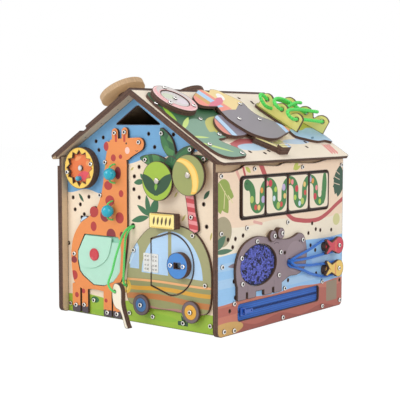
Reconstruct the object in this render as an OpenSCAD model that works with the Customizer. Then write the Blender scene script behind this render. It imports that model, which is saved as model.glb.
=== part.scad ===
// House-shaped wooden busy board: a hollow plywood house with play pieces on its front,
// its right wall and both halves of its roof.
// Origin: centre of the floor panel's underside. +X right, +Y back, +Z up.

/* [House] */
// Width over the two printed side covers
house_w = 300; // [298:1:330]
// Depth of the side walls from front to back
house_d = 312; // [310:1:340]
// Height of the ridge above the ground
ridge_h = 328; // [325:1:345]
// Slope of the roof in degrees
roof_pitch = 31.4; // [30.8:0.2:32]
// Thickness of one sheet of plywood
ply = 4; // [3.8:0.1:4.2]
// How far the end panels sit inside the ends of the side walls
gable_recess = 12; // [10:0.5:13]
// How far the eaves stand out past the side walls
eave_out = 11; // [9:0.5:14]
// How far the roof stands out at the front
front_overhang = 6; // [4:0.5:8]
// How far the roof stands out at the back
back_overhang = 2; // [1:0.5:4]
// How far the end of the left roof stands proud of the ridge
ridge_lip = 1.2; // [0.8:0.1:2]
// Rounding of the free corners of walls and roofs
corner_r = 8; // [5:0.5:12]
// Diameter of the small drilled holes
drill_d = 4.8; // [3:0.1:5.4]

/* [Gable window] */
// Width of the window under the ridge
window_w = 86; // [76:1:92]
// Height of the window
window_h = 27.5; // [22:0.5:30]
// Distance from the ridge down to the window sill
window_drop = 50; // [48:1:54]

/* [Fits] */
// Gap between a piece that slides or turns and the piece beside it
run_gap = 0.3; // [0.25:0.05:0.4]
// Radial clearance of a pin in its bore
pin_gap = 0.05; // [0.03:0.01:0.08]
// Radius of the pivot posts' pins
pivot_r = 2.5; // [2:0.1:3]
// Diameter of a screw head
screw_d = 6.6; // [5.5:0.1:7.5]
// Height of a screw head
screw_h = 2; // [1.5:0.1:2.5]

/* [Dial] */
// Outer radius of the dial's rings
dial_r = 30; // [28:0.5:31]
// Width of the spacer ring's rim
dial_rim = 3.4; // [2.5:0.1:4]
// Number of teeth round the dial's window
dial_teeth = 12; // [10:1:16]
// Radius to the tips of the window's teeth
dial_tooth_r = 20; // [19.5:0.1:21]
// Radius of the peg's circle
dial_peg_at = 15.4; // [14:0.1:15.4]
// Diameter of the peg
dial_peg_d = 7; // [6:0.1:7.5]
// Diameter of the boss in the middle of the dial
dial_knob_d = 8; // [7.5:0.5:9.5]

/* [Turning discs] */
// Radius of the light green disc
small_disc_r = 27; // [24:0.5:27]
// Radius of the olive disc
large_disc_r = 27.5; // [25:0.5:28]
// Radius of the front wheel
front_wheel_r = 14.5; // [12:0.5:15]
// Radius of the rear wheel
rear_wheel_r = 15; // [12:0.5:16]
// Radius of the round plates on the roof
roof_ring_r = 34; // [31:0.5:34]
// Radius of the window in the roof ring
roof_window_r = 22; // [20:0.5:25]
// Radius of the spinner on the left roof
spinner_r = 33; // [30:0.5:34]

/* [Door] */
// Radius of the door's round side
door_r = 42.5; // [40:0.5:43]
// Length of the door's hinge side
door_side = 65; // [60:1:68]
// Gap all round the door
door_gap = 1.2; // [0.8:0.1:1.6]
// Length of the hinge
hinge_l = 26; // [22:0.5:30]
// Width of the open hinge
hinge_w = 27; // [22:0.5:30]
// Thickness of the hinge's leaves
hinge_t = 1; // [0.8:0.1:1.2]
// Diameter of the pull on the door
pull_d = 36; // [30:1:38]
// Height of the pull
pull_h = 9; // [7:0.5:12]

/* [Beads, cords and felt] */
// Diameter of the beads on the giraffe
bead_d = 17.6; // [15:0.2:18]
// Diameter of the bead cords
bead_cord_d = 2.5; // [2:0.1:3]
// Thickness of the felt
felt_t = 1.5; // [1:0.1:1.7]
// Thickness of the wooden tusk on the cord
tusk_t = 8; // [7:0.5:9]

/* [Tile track] */
// Number of tiles in the track
tile_count = 4; // [4:1:4]
// How far the row of tiles slides
tile_travel = 6; // [4:0.5:8]
// Height of the track's window
track_h = 58.6; // [56:0.2:60]
// Length of the track's window
track_l = 224; // [222:0.5:228]
// Gap between two tiles
tile_gap = 3; // [2.8:0.1:3.4]
// How far a tile's lip stands out to each side
tile_lip = 1.35; // [1:0.05:1.35]

/* [Zipper] */
// Length of the zipper's window
zip_l = 202; // [190:1:204]
// Height of the zipper's window
zip_h = 23.4; // [21:0.2:25]
// Width of the slit between the two tapes
zip_slit = 1.4; // [1.2:0.1:1.8]
// Length of the slider
slider_l = 13; // [11:0.5:15]
// Length of the pull
zip_pull_l = 18; // [14:0.5:22]

/* [Lacing frame] */
// Height of the two upright plates above their base
lacing_h = 26; // [24:0.5:30]
// Distance between two holes for the lace
lacing_pitch = 29; // [27:0.5:30]
// Radius of the holes for the lace
lacing_hole_r = 3.4; // [3.1:0.1:4]

/* [Hidden] */
$fn = 64;
half_w = house_w / 2;
half_d = house_d / 2;
wall_in = half_w - 2 * ply;
face_y = half_d - gable_recess;
steep = tan(roof_pitch);
eave_x = half_w + eave_out;
eave_z = ridge_h - eave_x * steep;
slope_l = eave_x / cos(roof_pitch);
roof_t = 2 * ply;
apex_z = ridge_h - roof_t / cos(roof_pitch);
roof_front = half_d + front_overhang;
roof_back = half_d + back_overhang;
slab_setback = 8;
wall_top = apex_z - half_w * steep;
drill_r = drill_d / 2;

// Heights over a face, in layers of plywood
layer1 = ply;
layer2 = 2 * ply;
layer3 = 3 * ply;

// The layout is drawn on a house 300 wide and 312 deep, with its window sill at 278, its wall tops
// at 227.07 and its eaves 161 from the middle. These move each place and outline with the house.
fit_x = house_w / 300;
fit_y = house_d / 312;
fit_z = (ridge_h - window_drop) / 278;
fit_v = eave_x / 161;
fit_van = max(fit_z, door_r / 42.5);
zip_low = 15.2;
track_drop = 17.07;
track_low = wall_top - track_drop - track_h;
zip_zone = zip_low + zip_h + 11.4;

function front_fit(p) = [p[0] * fit_x, p[1] * fit_z];

function van_fit(p) = [p[0] * fit_x, p[1] * fit_van];

// Below the zipper's zone, between it and the tile track, and above the track's foot
function wall_z(z) = z <= 50 ? z * zip_zone / 50
    : z <= 145 ? zip_zone + (z - 50) * (track_low - 6.4 - zip_zone) / 95
    : wall_top + z - 227.07;

function wall_fit(p) = [p[0] * fit_y, wall_z(p[1])];

// The pieces round the roof ring keep to the front, and the rest share what is left
function roof_y(y) = y < -81 ? y + 156 - half_d : half_d - (156 - y) * (house_d - 75) / 237;

function roof_fit(p) = len(p) > 2 ? [roof_y(p[0]), p[1] * fit_v, p[2]] : [roof_y(p[0]), p[1] * fit_v];

// Places on the front, [x, z]
dial_x = -104.5 * fit_x;
dial_at = [dial_x, apex_z + dial_x * steep - (dial_r + 4) / cos(roof_pitch)];
small_disc_at = front_fit([45.3, 202]);
large_disc_at = small_disc_at + (small_disc_r + large_disc_r + 1) * [cos(10.1), sin(10.1)];
front_wheel_at = van_fit([11, 27.5]);
rear_wheel_at = van_fit([100.5, 28]);
upper_bead_at = front_fit([-42.3, 208.3]);
lower_bead_at = front_fit([-46.8, 155.8]);
cord_hole_at = front_fit([-10, 136]);
lobe_at = van_fit([-22, 50]);
lobe_hole_at = van_fit([-20, 51.4]);
door_at = van_fit([61, 89]);
hinge_x = door_at[0] - 33.8 * door_r / 42.5;
hinge_z = door_at[1] - 1 - hinge_l / 2;
pull_at = door_at + [door_r - pull_d / 2 - 4, 0.5];
// The sign keeps between the small disc and the door
sign_at = [57 * fit_x, (small_disc_at[1] - small_disc_r + door_at[1]) / 2 + 16.4];
snap_at = front_fit([-82, 90.2]);
pouch_high = 119 * fit_z;
flap_top = pouch_high - 2;

// Places on the right wall, [y, z]
track_left = 3 - track_l / 2;
zip_left = -112.3;
mouth_at = wall_fit([4, 83]);
sequin_at = wall_fit([-69.5, 88]);
yellow_fish_at = wall_fit([127, 61]);
red_fish_at = yellow_fish_at + [0, max(35, wall_z(96) - wall_z(61))];

// Places on the right roof, [y, distance up the slope]
roof_ring_at = roof_fit([-117, 143]);
lacing_front = [roof_fit([81, 140]), roof_fit([90, 63])];
lacing_rear = [roof_fit([127, 130]), roof_fit([155, 57])];

// Places on the left roof
spinner_at = roof_fit([-127.5, 149]);
round_plate_at = roof_fit([-1, 151]);

front_drills = [for (p = [[-81.5, 254], [-67, 259.5], [-76, 241.5], [20, 265.5], [31, 247.5], [65, 265],
    [2, 219.5], [-7, 206], [-8, 188], [2, 177], [-130, 170.5], [-97, 173], [-115, 161],
    [-126, 153], [-112, 142], [-107, 147], [117, 173.5], [122, 144], [-140, 102]]) front_fit(p)];
wall_drills = [for (p = [[-134, 128], [-118, 127.5], [-101, 130.5], [-124, 117], [-121, 71], [-118, 49],
    [-130, 32.5], [7.5, 56.5], [82, 57.5], [66, 101], [79, 92.5], [60, 119.5], [80, 123.5],
    [92.5, 121], [70, 133], [123.5, 119], [149, 39]]) wall_fit(p)];
roof_drills = [for (p = [[68, 169], [89, 159], [87, 154], [88, 42], [75, 29], [-74, 23], [-45, 18],
    [-30, 23]]) roof_fit(p)];

// Screws, [across, up] on the face named, at the height of the piece that they hold
giraffe_screws = [for (p = [[-40.4, 266.4], [-21.4, 267.6], [5.6, 253.8], [-59.5, 224.5], [-70, 177], [-124, 88],
    [-121, 12], [-104, 14], [-57, 8], [-38, 8]]) front_fit(p)];
palm_screws = [for (p = [[47.4, 266.4], [17.6, 230], [97.5, 245.5], [121, 233.5], [99.5, 155.5]]) front_fit(p)];
van_screws = [for (p = [[102, 131], [123.5, 66], [-5, 103]]) van_fit(p)];
panel_face_screws = [for (p = [[-88, 22], [-137, 12], [-17, 12], [27, 12], [129, 12], [82, 10]])
    front_fit(p)];
wall_face_screws = [for (p = [[-149.5, 212], [-149.5, 137], [-147, 93], [-76, 219], [42, 217], [150, 216],
    [-93, 140], [5, 140], [-121, 41], [-2, 46], [98, 43], [-143, 7], [-121, 5], [-6, 5], [99, 6],
    [149, 8]]) wall_fit(p)];
hippo_screws = [for (p = [[-75, 120.5], [-110, 101], [-108, 66], [-22, 68], [-18, 100], [38, 112]])
    wall_fit(p)];
hippo_ears = [wall_fit([-41, 122]) + [0, 3], wall_fit([-22, 119]) + [0, 8]];
leaf_screws = [for (p = [[-154.5, 140.5], [-103, 100], [-104, 60], [-150, 37], [-106, 14]]) roof_fit(p)];
toucan_screws = [for (p = [[17, 130], [-33, 88], [14, 86]]) roof_fit(p)];
ring_screw_angles = [80, 210, 312];

ascent = [cos(roof_pitch), sin(roof_pitch)];
lip_top = [0, ridge_h] + ridge_lip * ascent;
lip_low = lip_top + roof_t * [ascent[1], -ascent[0]];

// Helpers ---------------------------------------------------------------------------

// A closed smooth curve through the points
function smooth(p, steps = 4) = [for (i = [0 : len(p) - 1], s = [0 : steps - 1])
    spline(p[(i + len(p) - 1) % len(p)], p[i], p[(i + 1) % len(p)], p[(i + 2) % len(p)], s / steps)];

// An open smooth curve through the points
function smooth_path(p, steps = 3) = concat([for (i = [0 : len(p) - 2], s = [0 : steps - 1])
    spline(p[max(i - 1, 0)], p[i], p[i + 1], p[min(i + 2, len(p) - 1)], s / steps)], [p[len(p) - 1]]);

function spline(a, b, c, d, t) = 0.5 * (2 * b + (c - a) * t + (2 * a - 5 * b + 4 * c - d) * t * t
    + (3 * b - a - 3 * c + d) * t * t * t);

function unit(v) = v / norm(v);

// The polygon p with each corner rounded over a stretch of about r
function round_corners(p, r) = [for (i = [0 : len(p) - 1], s = [0 : 0.25 : 1])
    let (b = p[i], a = b + r * unit(p[(i + len(p) - 1) % len(p)] - b),
        c = b + r * unit(p[(i + 1) % len(p)] - b))
    (1 - s) * (1 - s) * a + 2 * s * (1 - s) * b + s * s * c];

function under_roof_z(x) = apex_z - abs(x) * steep;

// Local x runs across the face, local y up it and local z out of it
module on_front() {
    translate([0, -face_y, 0]) rotate([90, 0, 0]) children();
}

module on_back() {
    translate([0, face_y, 0]) rotate([90, 0, 180]) children();
}

module on_right() {
    translate([half_w, 0, 0]) rotate([90, 0, 90]) children();
}

module on_left() {
    translate([-half_w, 0, 0]) rotate([90, 0, -90]) children();
}

module on_right_roof() {
    translate([eave_x, 0, eave_z]) rotate([0, roof_pitch - 90, 0]) rotate([90, 0, 90]) children();
}

module on_left_roof() {
    translate([-eave_x, 0, eave_z]) rotate([0, 90 - roof_pitch, 0]) rotate([90, 0, -90]) children();
}

// A flat piece between two heights over the face
module sheet(from, to) {
    translate([0, 0, from]) linear_extrude(to - from) children();
}

module at(p) {
    translate([p[0], p[1]]) children();
}

module rounded_rect(x0, y0, x1, y1, r) {
    translate([x0 + r, y0]) square([x1 - x0 - 2 * r, y1 - y0]);
    translate([x0, y0 + r]) square([x1 - x0, y1 - y0 - 2 * r]);
    for (x = [x0 + r, x1 - r], y = [y0 + r, y1 - r])
        translate([x, y]) circle(r);
}

module drills(places) {
    for (p = places)
        at(p) circle(drill_r, $fn = 24);
}

// A slim leaf from its root to its tip
module leaf_outline(root, tip, width) {
    along = tip - root;
    side = width * unit([-along[1], along[0]]);
    polygon(smooth([root, root + 0.3 * along + 0.42 * side, root + 0.6 * along + 0.5 * side,
        root + 0.88 * along + 0.25 * side, tip, root + 0.88 * along - 0.25 * side,
        root + 0.6 * along - 0.5 * side, root + 0.3 * along - 0.42 * side]));
}

// A cord swept along a path: radii gives one radius per point, ref is never along the path
module cord(path, radii, ref) {
    sides = 8;
    last = len(path) - 1;
    rings = [for (i = [0 : last])
        let (t = unit(path[min(i + 1, last)] - path[max(i - 1, 0)]), u = unit(cross(ref, t)), w = cross(t, u))
        for (k = [0 : sides - 1]) path[i] + radii[i] * (cos(360 * k / sides) * u + sin(360 * k / sides) * w)];
    skin = [for (i = [0 : last - 1], k = [0 : sides - 1])
        [i * sides + k, (i + 1) * sides + k, (i + 1) * sides + (k + 1) % sides, i * sides + (k + 1) % sides]];
    start = [for (k = [0 : sides - 1]) k];
    end = [for (k = [sides - 1 : -1 : 0]) last * sides + k];
    polyhedron(rings, concat(skin, [start], [end]));
}

function even(path, r) = [for (p = path) r];

// A screw head with its flat side on the face, at height h
module screw_head(p, h) {
    translate([p[0], p[1], h]) cylinder(h = screw_h, r1 = screw_d / 2, r2 = 0.3 * screw_d, $fn = 24);
}

// A bush with a pin that a disc turns on; the bush ends run_gap below the disc
module pivot_post(p, from, disc_low, disc_high, bush_r) {
    translate([p[0], p[1], from]) cylinder(h = disc_low - run_gap - from, r = bush_r);
    translate([p[0], p[1], disc_low - run_gap - 0.01])
        cylinder(h = disc_high - disc_low + 2 * run_gap + 0.01, r = pivot_r);
}

module turning_disc(p, r, low, high) {
    translate([p[0], p[1], low]) difference() {
        cylinder(h = high - low, r = r, $fn = 96);
        translate([0, 0, -1]) cylinder(h = high - low + 2, r = pivot_r + pin_gap);
    }
}

// House -----------------------------------------------------------------------------

// The room under the roof, seen from the front
module under_roof_outline(x) {
    polygon([[-x, 0], [x, 0], [x, under_roof_z(x)], [0, apex_z], [-x, under_roof_z(x)]]);
}

module under_roof() {
    translate([0, house_d, 0]) rotate([90, 0, 0]) linear_extrude(2 * house_d) under_roof_outline(half_w);
}

module floor_panel() {
    color("burlywood") translate([-wall_in, -face_y + ply, 0]) cube([2 * wall_in, 2 * (face_y - ply), ply]);
}

module gable_window_outline() {
    translate([0, ridge_h - window_drop])
        polygon(round_corners([[-window_w / 2, 0], [window_w / 2, 0], [0, window_h]], 5));
}

module front_panel() {
    color("wheat") on_front() sheet(-ply, 0) difference() {
        under_roof_outline(wall_in);
        gable_window_outline();
        drills(front_drills);
        at(cord_hole_at) circle(3.6);
        at(lobe_hole_at) circle(2.1);
    }
}

module back_panel() {
    color("burlywood") on_back() sheet(-ply, 0) under_roof_outline(wall_in);
}

module wall_outline(top) {
    rounded_rect(-half_d, 0, half_d, 3 * corner_r, corner_r);
    translate([-half_d, 2 * corner_r]) square([house_d, top - 2 * corner_r]);
}

// The cover ends below the eave in a wave
module cover_outline() {
    wave = smooth_path([for (p = [[-156, -10], [-128, -10.5], [-118, -9], [-105, -6], [-95, -2.5],
        [-55, -4], [-20, -6], [0, -2.5], [60, -5], [80, -5], [110, -1.5], [156, -1.5]])
        [p[0] * fit_y, p[1]]]);
    intersection() {
        wall_outline(wall_top);
        polygon(concat([[half_d, 0], [-half_d, 0]], [for (p = wave) [p[0], wall_top + p[1]]]));
    }
}

module left_wall() {
    color("burlywood") intersection() {
        on_left() sheet(-2 * ply, -ply) wall_outline(ridge_h);
        under_roof();
    }
}

module left_wall_cover() {
    color("wheat") on_left() sheet(-ply, 0) mirror([1, 0]) cover_outline();
}

track_margin = 2;

module track_outline(grow, r) {
    rounded_rect(track_left - grow, track_low - grow, track_left + track_l + grow,
        track_low + track_h + grow, r);
}

module zip_outline(grow) {
    translate([zip_left - 2 - grow, zip_low - grow]) square([zip_l + 4 + 2 * grow, zip_h + 2 * grow]);
}

module right_wall() {
    rabbet = 0.8;
    color("burlywood") difference() {
        intersection() {
            on_right() sheet(-2 * ply, -ply) wall_outline(ridge_h);
            under_roof();
        }
        on_right() sheet(-2 * ply - 1, -ply + 1) track_outline(track_margin, 3);
        on_right() sheet(-ply - rabbet, -ply + 1) zip_outline(2);
        on_right() sheet(-2 * ply - 1, -ply + 1) zip_outline(-2);
    }
}

module right_wall_cover() {
    color("wheat") on_right() sheet(-ply, 0) difference() {
        cover_outline();
        track_outline(0, 7);
        rounded_rect(zip_left, zip_low, zip_left + zip_l, zip_low + zip_h, 5);
        drills(wall_drills);
    }
}

module eave_outline(x0, x1, low, high) {
    rounded_rect(x0, low, x1, low + 4 * corner_r, corner_r);
    translate([x0, low + 2 * corner_r]) square([x1 - x0, high - low - 2 * corner_r]);
}

// What the right roof is cut away by where it meets the left roof
module ridge_cut() {
    translate([0, house_d, 0]) rotate([90, 0, 0]) linear_extrude(2 * house_d)
        polygon([[-60, apex_z - 60], [0, apex_z - 60], [0, apex_z], lip_low, lip_top,
            [0, ridge_h + 40], [-60, ridge_h + 40]]);
}

module roof_left_slab() {
    color("burlywood") on_left_roof() sheet(-roof_t, -ply)
        eave_outline(-roof_back, roof_front, slab_setback, slope_l + ridge_lip);
}

module roof_left_cover() {
    strip = 76 * fit_v;
    strip_gap = 13;
    color("wheat") on_left_roof() sheet(-ply, 0) difference() {
        eave_outline(-roof_back, roof_front, 0, slope_l + ridge_lip);
        translate([-roof_back - 1, strip]) square([roof_front + roof_back + 2, strip_gap]);
    }
}

module roof_right_slab() {
    color("burlywood") difference() {
        on_right_roof() sheet(-roof_t, -ply) eave_outline(-roof_front, roof_back, slab_setback, slope_l + 30);
        ridge_cut();
    }
}

module roof_right_cover() {
    color("wheat") difference() {
        on_right_roof() sheet(-ply, 0) difference() {
            eave_outline(-roof_front, roof_back, 0, slope_l + 30);
            drills(roof_drills);
        }
        ridge_cut();
    }
}

// Giraffe with pouch and beads --------------------------------------------------------

module giraffe_outline() {
    body = [[-55, 242], [-42, 240], [-20, 232], [-18, 205], [-18, 165], [-18, 122], [-22, 90],
        [-28, 62], [-33, 52], [-40, 40], [-60, 38], [-85, 39], [-110, 38], [-126, 48], [-131, 85],
        [-126, 112], [-112, 133], [-96, 143], [-81, 154], [-71, 170], [-65, 190], [-61, 215]];
    head = [[-53.5, 247], [-50.5, 254.5], [-44, 257.5], [-15, 259.2], [6, 260.2], [12.8, 256.8], [14.6, 250.6],
        [11.7, 244.3], [4.9, 240.4], [-8.9, 233.6], [-17, 228.6], [-38, 224], [-54, 234]];
    for (part = [body, head])
        polygon(smooth([for (p = part) front_fit(p)]));
    for (horn = [[-40.4, 267], [-21.4, 268.3]]) {
        at(front_fit(horn)) circle(5.8);
        at(front_fit([horn[0], 254]) - [5.8, 0]) square([11.6, (horn[1] - 254) * fit_z]);
    }
    at(front_fit([-55.5, 247])) circle(7);
    at(front_fit([-83.5, 152])) circle(8);
    for (leg = [[-129, 16], [-109, 12], [-65, 16], [-46, 16]])
        rounded_rect(leg[0] * fit_x, 2, (leg[0] + leg[1]) * fit_x, 44 * fit_z, 2);
}

module pouch_outline(inset) {
    offset(delta = -inset) polygon([for (p = [[-103, 119], [-117, 94], [-117.4, 77], [-113.4, 63], [-107, 57],
        [-85, 45], [-64, 45.6], [-46, 53], [-38, 61], [-32.3, 69], [-30.1, 95], [-30.6, 113], [-36.6, 119]])
        front_fit(p)]);
}

module giraffe_plate() {
    color("sandybrown") on_front() sheet(0, layer1) difference() {
        giraffe_outline();
        pouch_outline(0);
        offset(0.6) van_outline();
    }
}

module felt_pouch() {
    color("aquamarine") on_front() {
        sheet(0, felt_t) pouch_outline(run_gap);
        sheet(felt_t, 2 * felt_t) difference() {
            pouch_outline(run_gap);
            translate([-half_w, pouch_high - 8]) square([half_w, 8]);
        }
    }
}

flap_low_h = 2 * felt_t + run_gap;
flap_high_h = flap_low_h + felt_t;

module pouch_flap() {
    edge = smooth_path([for (p = [[-49.8, 105], [-55.5, 89], [-66.5, 78.5], [-82, 71.2], [-99, 70],
        [-112, 74.5]]) front_fit(p)]);
    color("paleturquoise") on_front() sheet(flap_low_h, flap_high_h)
        polygon(concat([[-101 * fit_x, flap_top], [-47.5 * fit_x, flap_top]], edge,
            [front_fit([-115.4, 80]), front_fit([-115.1, 93])]));
}

module snap_button() {
    color("crimson") on_front() translate([snap_at[0], snap_at[1], flap_high_h]) rotate_extrude()
        polygon([[0, 0], [9, 0], [9, 1.2], [8.2, 2], [6.4, 2.2], [5.4, 1.6], [0, 1.6]]);
}

module small_bird() {
    color("azure") on_front() sheet(0, layer1) difference() {
        polygon(smooth([for (p = [[-111, 137], [-107, 143], [-100, 145], [-92, 142], [-84, 136],
            [-88, 128], [-100, 128], [-107, 131]]) front_fit(p)]));
        giraffe_outline();
    }
}

bead_h = layer1 + 0.5 + bead_d / 2;

module bead(p) {
    on_front() translate([p[0], p[1], bead_h]) rotate([90, 0, 0]) difference() {
        sphere(bead_d / 2);
        cylinder(h = bead_d, r = bead_cord_d / 2 + 2 * pin_gap, center = true);
    }
}

module upper_bead() {
    color("turquoise") bead(upper_bead_at);
}

module lower_bead() {
    color("turquoise") bead(lower_bead_at);
}

module bead_cords() {
    // Each cord leaves the plate above its bead, goes straight through it and ends below it
    half = bead_d / 2;
    route = [[1.5, half + 5, layer1], [1.5, half + 5, 6.5], [1, half + 4.2, 9], [0.4, half + 2.4, 12],
        [0, half + 0.4, bead_h], [0, -half - 0.4, bead_h], [0.4, -half - 1.8, 12], [1, -half - 3.2, 9],
        [1.5, -half - 3.8, 6.5], [1.5, -half - 3.8, layer1]];
    color("lightgreen") on_front() for (p = [upper_bead_at, lower_bead_at])
        cord([for (q = route) [p[0] + q[0], p[1] + q[1], q[2]]], even(route, bead_cord_d / 2), [1, 0, 0]);
}

// Palm and discs ----------------------------------------------------------------------

module palm_outline() {
    crown = [64, 224];
    at(front_fit(crown)) circle(12);
    for (leaf = [[[71, 228], [45.3, 274], 20], [crown, [7, 232.6], 18], [crown, [103, 250.5], 17],
        [crown, [128, 234.5], 17]])
        leaf_outline(front_fit(leaf[0]), front_fit(leaf[1]), leaf[2]);
    polygon(smooth([for (p = [[60, 218], [74, 206], [86, 190], [92, 165], [96, 138], [111, 138], [106, 165],
        [102, 190], [90, 212], [72, 226]]) front_fit(p)]));
}

module palm_plate() {
    color("mediumseagreen") on_front() sheet(0, layer1) difference() {
        palm_outline();
        van_outline();
        at(small_disc_at) circle(9);
        at(large_disc_at) circle(9);
    }
}

module small_disc() {
    color("lightgreen") on_front() turning_disc(small_disc_at, small_disc_r, layer2, layer3);
}

module large_disc() {
    color("olive") on_front() turning_disc(large_disc_at, large_disc_r, layer2, layer3);
}

// Van ---------------------------------------------------------------------------------

module van_outline() {
    polygon(smooth([for (p = [[-19, 62], [-14, 90], [3, 118], [28, 138], [63, 144.4], [103, 135.4],
        [123, 115], [132, 90], [133, 60], [130, 36], [120, 26], [90, 24], [60, 25], [30, 24], [0, 25],
        [-14, 28], [-20, 42]]) van_fit(p)]));
    at(lobe_at) circle(9);
}

// The door has a straight hinge side and a round free side
module door_outline(grow) {
    r = door_r + grow;
    side = door_side / 2 + grow;
    at(door_at) {
        intersection() {
            circle(r, $fn = 96);
            translate([0, -r]) square([r, 2 * r]);
        }
        polygon([[hinge_x - door_at[0] - grow, -side], [0, -r], [0, r], [hinge_x - door_at[0] - grow, side]]);
    }
}

module van_plate() {
    color("lemonchiffon") on_front() sheet(0, layer1) difference() {
        van_outline();
        door_outline(door_gap / 2);
        at(lobe_hole_at) circle(2.1);
    }
}

module van_door() {
    color("khaki") on_front() sheet(run_gap, layer1) door_outline(-door_gap / 2);
}

module van_sign() {
    color("ivory") on_front() sheet(layer1, layer1 + layer3) at(sign_at)
        rounded_rect(-22.5, -10.5, 22.5, 10.5, 2);
}

module door_pull() {
    color("skyblue") on_front() {
        sheet(layer1, layer1 + pull_h) at(pull_at) difference() {
            circle(pull_d / 2);
            translate([-6, -4]) square([12, 8]);
        }
        for (s = [-1, 1])
            screw_head(pull_at + [s * 11, 0], layer1 + pull_h);
    }
}

hinge_pin_r = 0.9;
knuckle_r = 2;
hinge_axis_h = layer1 + knuckle_r;
knuckle_l = hinge_l / 3;

module upright_rod(x, h, low, high, r) {
    translate([x, low, h]) rotate([-90, 0, 0]) cylinder(h = high - low, r = r, $fn = 32);
}

module hinge_leaf(from, to) {
    sheet(layer1, layer1 + hinge_t) rounded_rect(from, hinge_z, to, hinge_z + hinge_l, 1.5);
}

// The arm that joins a leaf to its knuckle
module knuckle_arm(x0, x1, low, high) {
    translate([x0, low, layer1]) cube([x1 - x0, high - low, hinge_t]);
}

module hinge_frame_leaf() {
    low = hinge_z;
    high = hinge_z + hinge_l;
    color("silver") on_front() {
        upright_rod(hinge_x, hinge_axis_h, low, high, hinge_pin_r);
        hinge_leaf(hinge_x - hinge_w / 2, hinge_x - knuckle_r - run_gap);
        for (span = [[low, low + knuckle_l - run_gap / 2], [high - knuckle_l + run_gap / 2, high]]) {
            upright_rod(hinge_x, hinge_axis_h, span[0], span[1], knuckle_r);
            knuckle_arm(hinge_x - knuckle_r - 1, hinge_x, span[0], span[1]);
        }
    }
}

module hinge_door_leaf() {
    low = hinge_z + knuckle_l + run_gap / 2;
    high = hinge_z + hinge_l - knuckle_l - run_gap / 2;
    color("silver") on_front() difference() {
        union() {
            hinge_leaf(hinge_x + knuckle_r + run_gap, hinge_x + hinge_w / 2);
            upright_rod(hinge_x, hinge_axis_h, low, high, knuckle_r);
            knuckle_arm(hinge_x, hinge_x + knuckle_r + 1, low, high);
        }
        upright_rod(hinge_x, hinge_axis_h, low - 1, high + 1, hinge_pin_r + pin_gap);
    }
}

module front_wheel() {
    color("slategray") on_front() turning_disc(front_wheel_at, front_wheel_r, layer1 + run_gap, layer2);
}

module rear_wheel() {
    color("slategray") on_front() turning_disc(rear_wheel_at, rear_wheel_r, layer1 + run_gap, layer2);
}

// Dial --------------------------------------------------------------------------------

dial_disc_low = layer1 + run_gap;
dial_disc_high = layer2 - run_gap;

module dial_window() {
    deep = dial_tooth_r + 6;
    polygon([for (i = [0 : 2 * dial_teeth - 1])
        (i % 2 == 0 ? deep : dial_tooth_r) * [cos(180 * i / dial_teeth), sin(180 * i / dial_teeth)]]);
}

module dial_ring() {
    color("lightcyan") on_front() at(dial_at) {
        sheet(0, layer1) circle(dial_r, $fn = 96);
        sheet(layer1, layer2) difference() {
            circle(dial_r, $fn = 96);
            circle(dial_r - dial_rim, $fn = 96);
        }
        sheet(layer2, layer3) difference() {
            circle(dial_r, $fn = 96);
            dial_window();
        }
        sheet(layer1, layer2 + 1) circle(pivot_r);
    }
}

module dial_disc() {
    knob_r = dial_knob_d / 2;
    color("orange") on_front() translate([dial_at[0], dial_at[1], dial_disc_low]) difference() {
        rotate_extrude($fn = 96) polygon([[0, 0], [dial_r - dial_rim - run_gap, 0],
            [dial_r - dial_rim - run_gap, dial_disc_high - dial_disc_low],
            [knob_r, dial_disc_high - dial_disc_low], [knob_r, 6.2], [0.8 * knob_r, 7], [0, 7.2]]);
        translate([0, 0, -1]) cylinder(h = layer2 + 1 + run_gap - dial_disc_low + 1, r = pivot_r + pin_gap);
    }
}

module dial_peg() {
    angle = 260;
    color("turquoise") on_front() translate([dial_at[0] + dial_peg_at * cos(angle),
        dial_at[1] + dial_peg_at * sin(angle), dial_disc_high]) rotate_extrude() polygon([[0, 0],
        [dial_peg_d / 2, 0], [dial_peg_d / 2, 6], [0.35 * dial_peg_d, 7.4], [0, 8]]);
}

// Threading cord ----------------------------------------------------------------------

threading_r = 1.6;

// How far the cord's hole and the lobe's hole lie from where the cord was drawn
cord_top_shift = cord_hole_at - [-10, 136];
cord_low_shift = lobe_hole_at - [-20, 51.4];

function hang(p) = let (s = max(0, min(1, (136 - p[1]) / 84.6)))
    concat([p[0], p[1]] + (1 - s) * cord_top_shift + s * cord_low_shift, [p[2]]);

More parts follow.
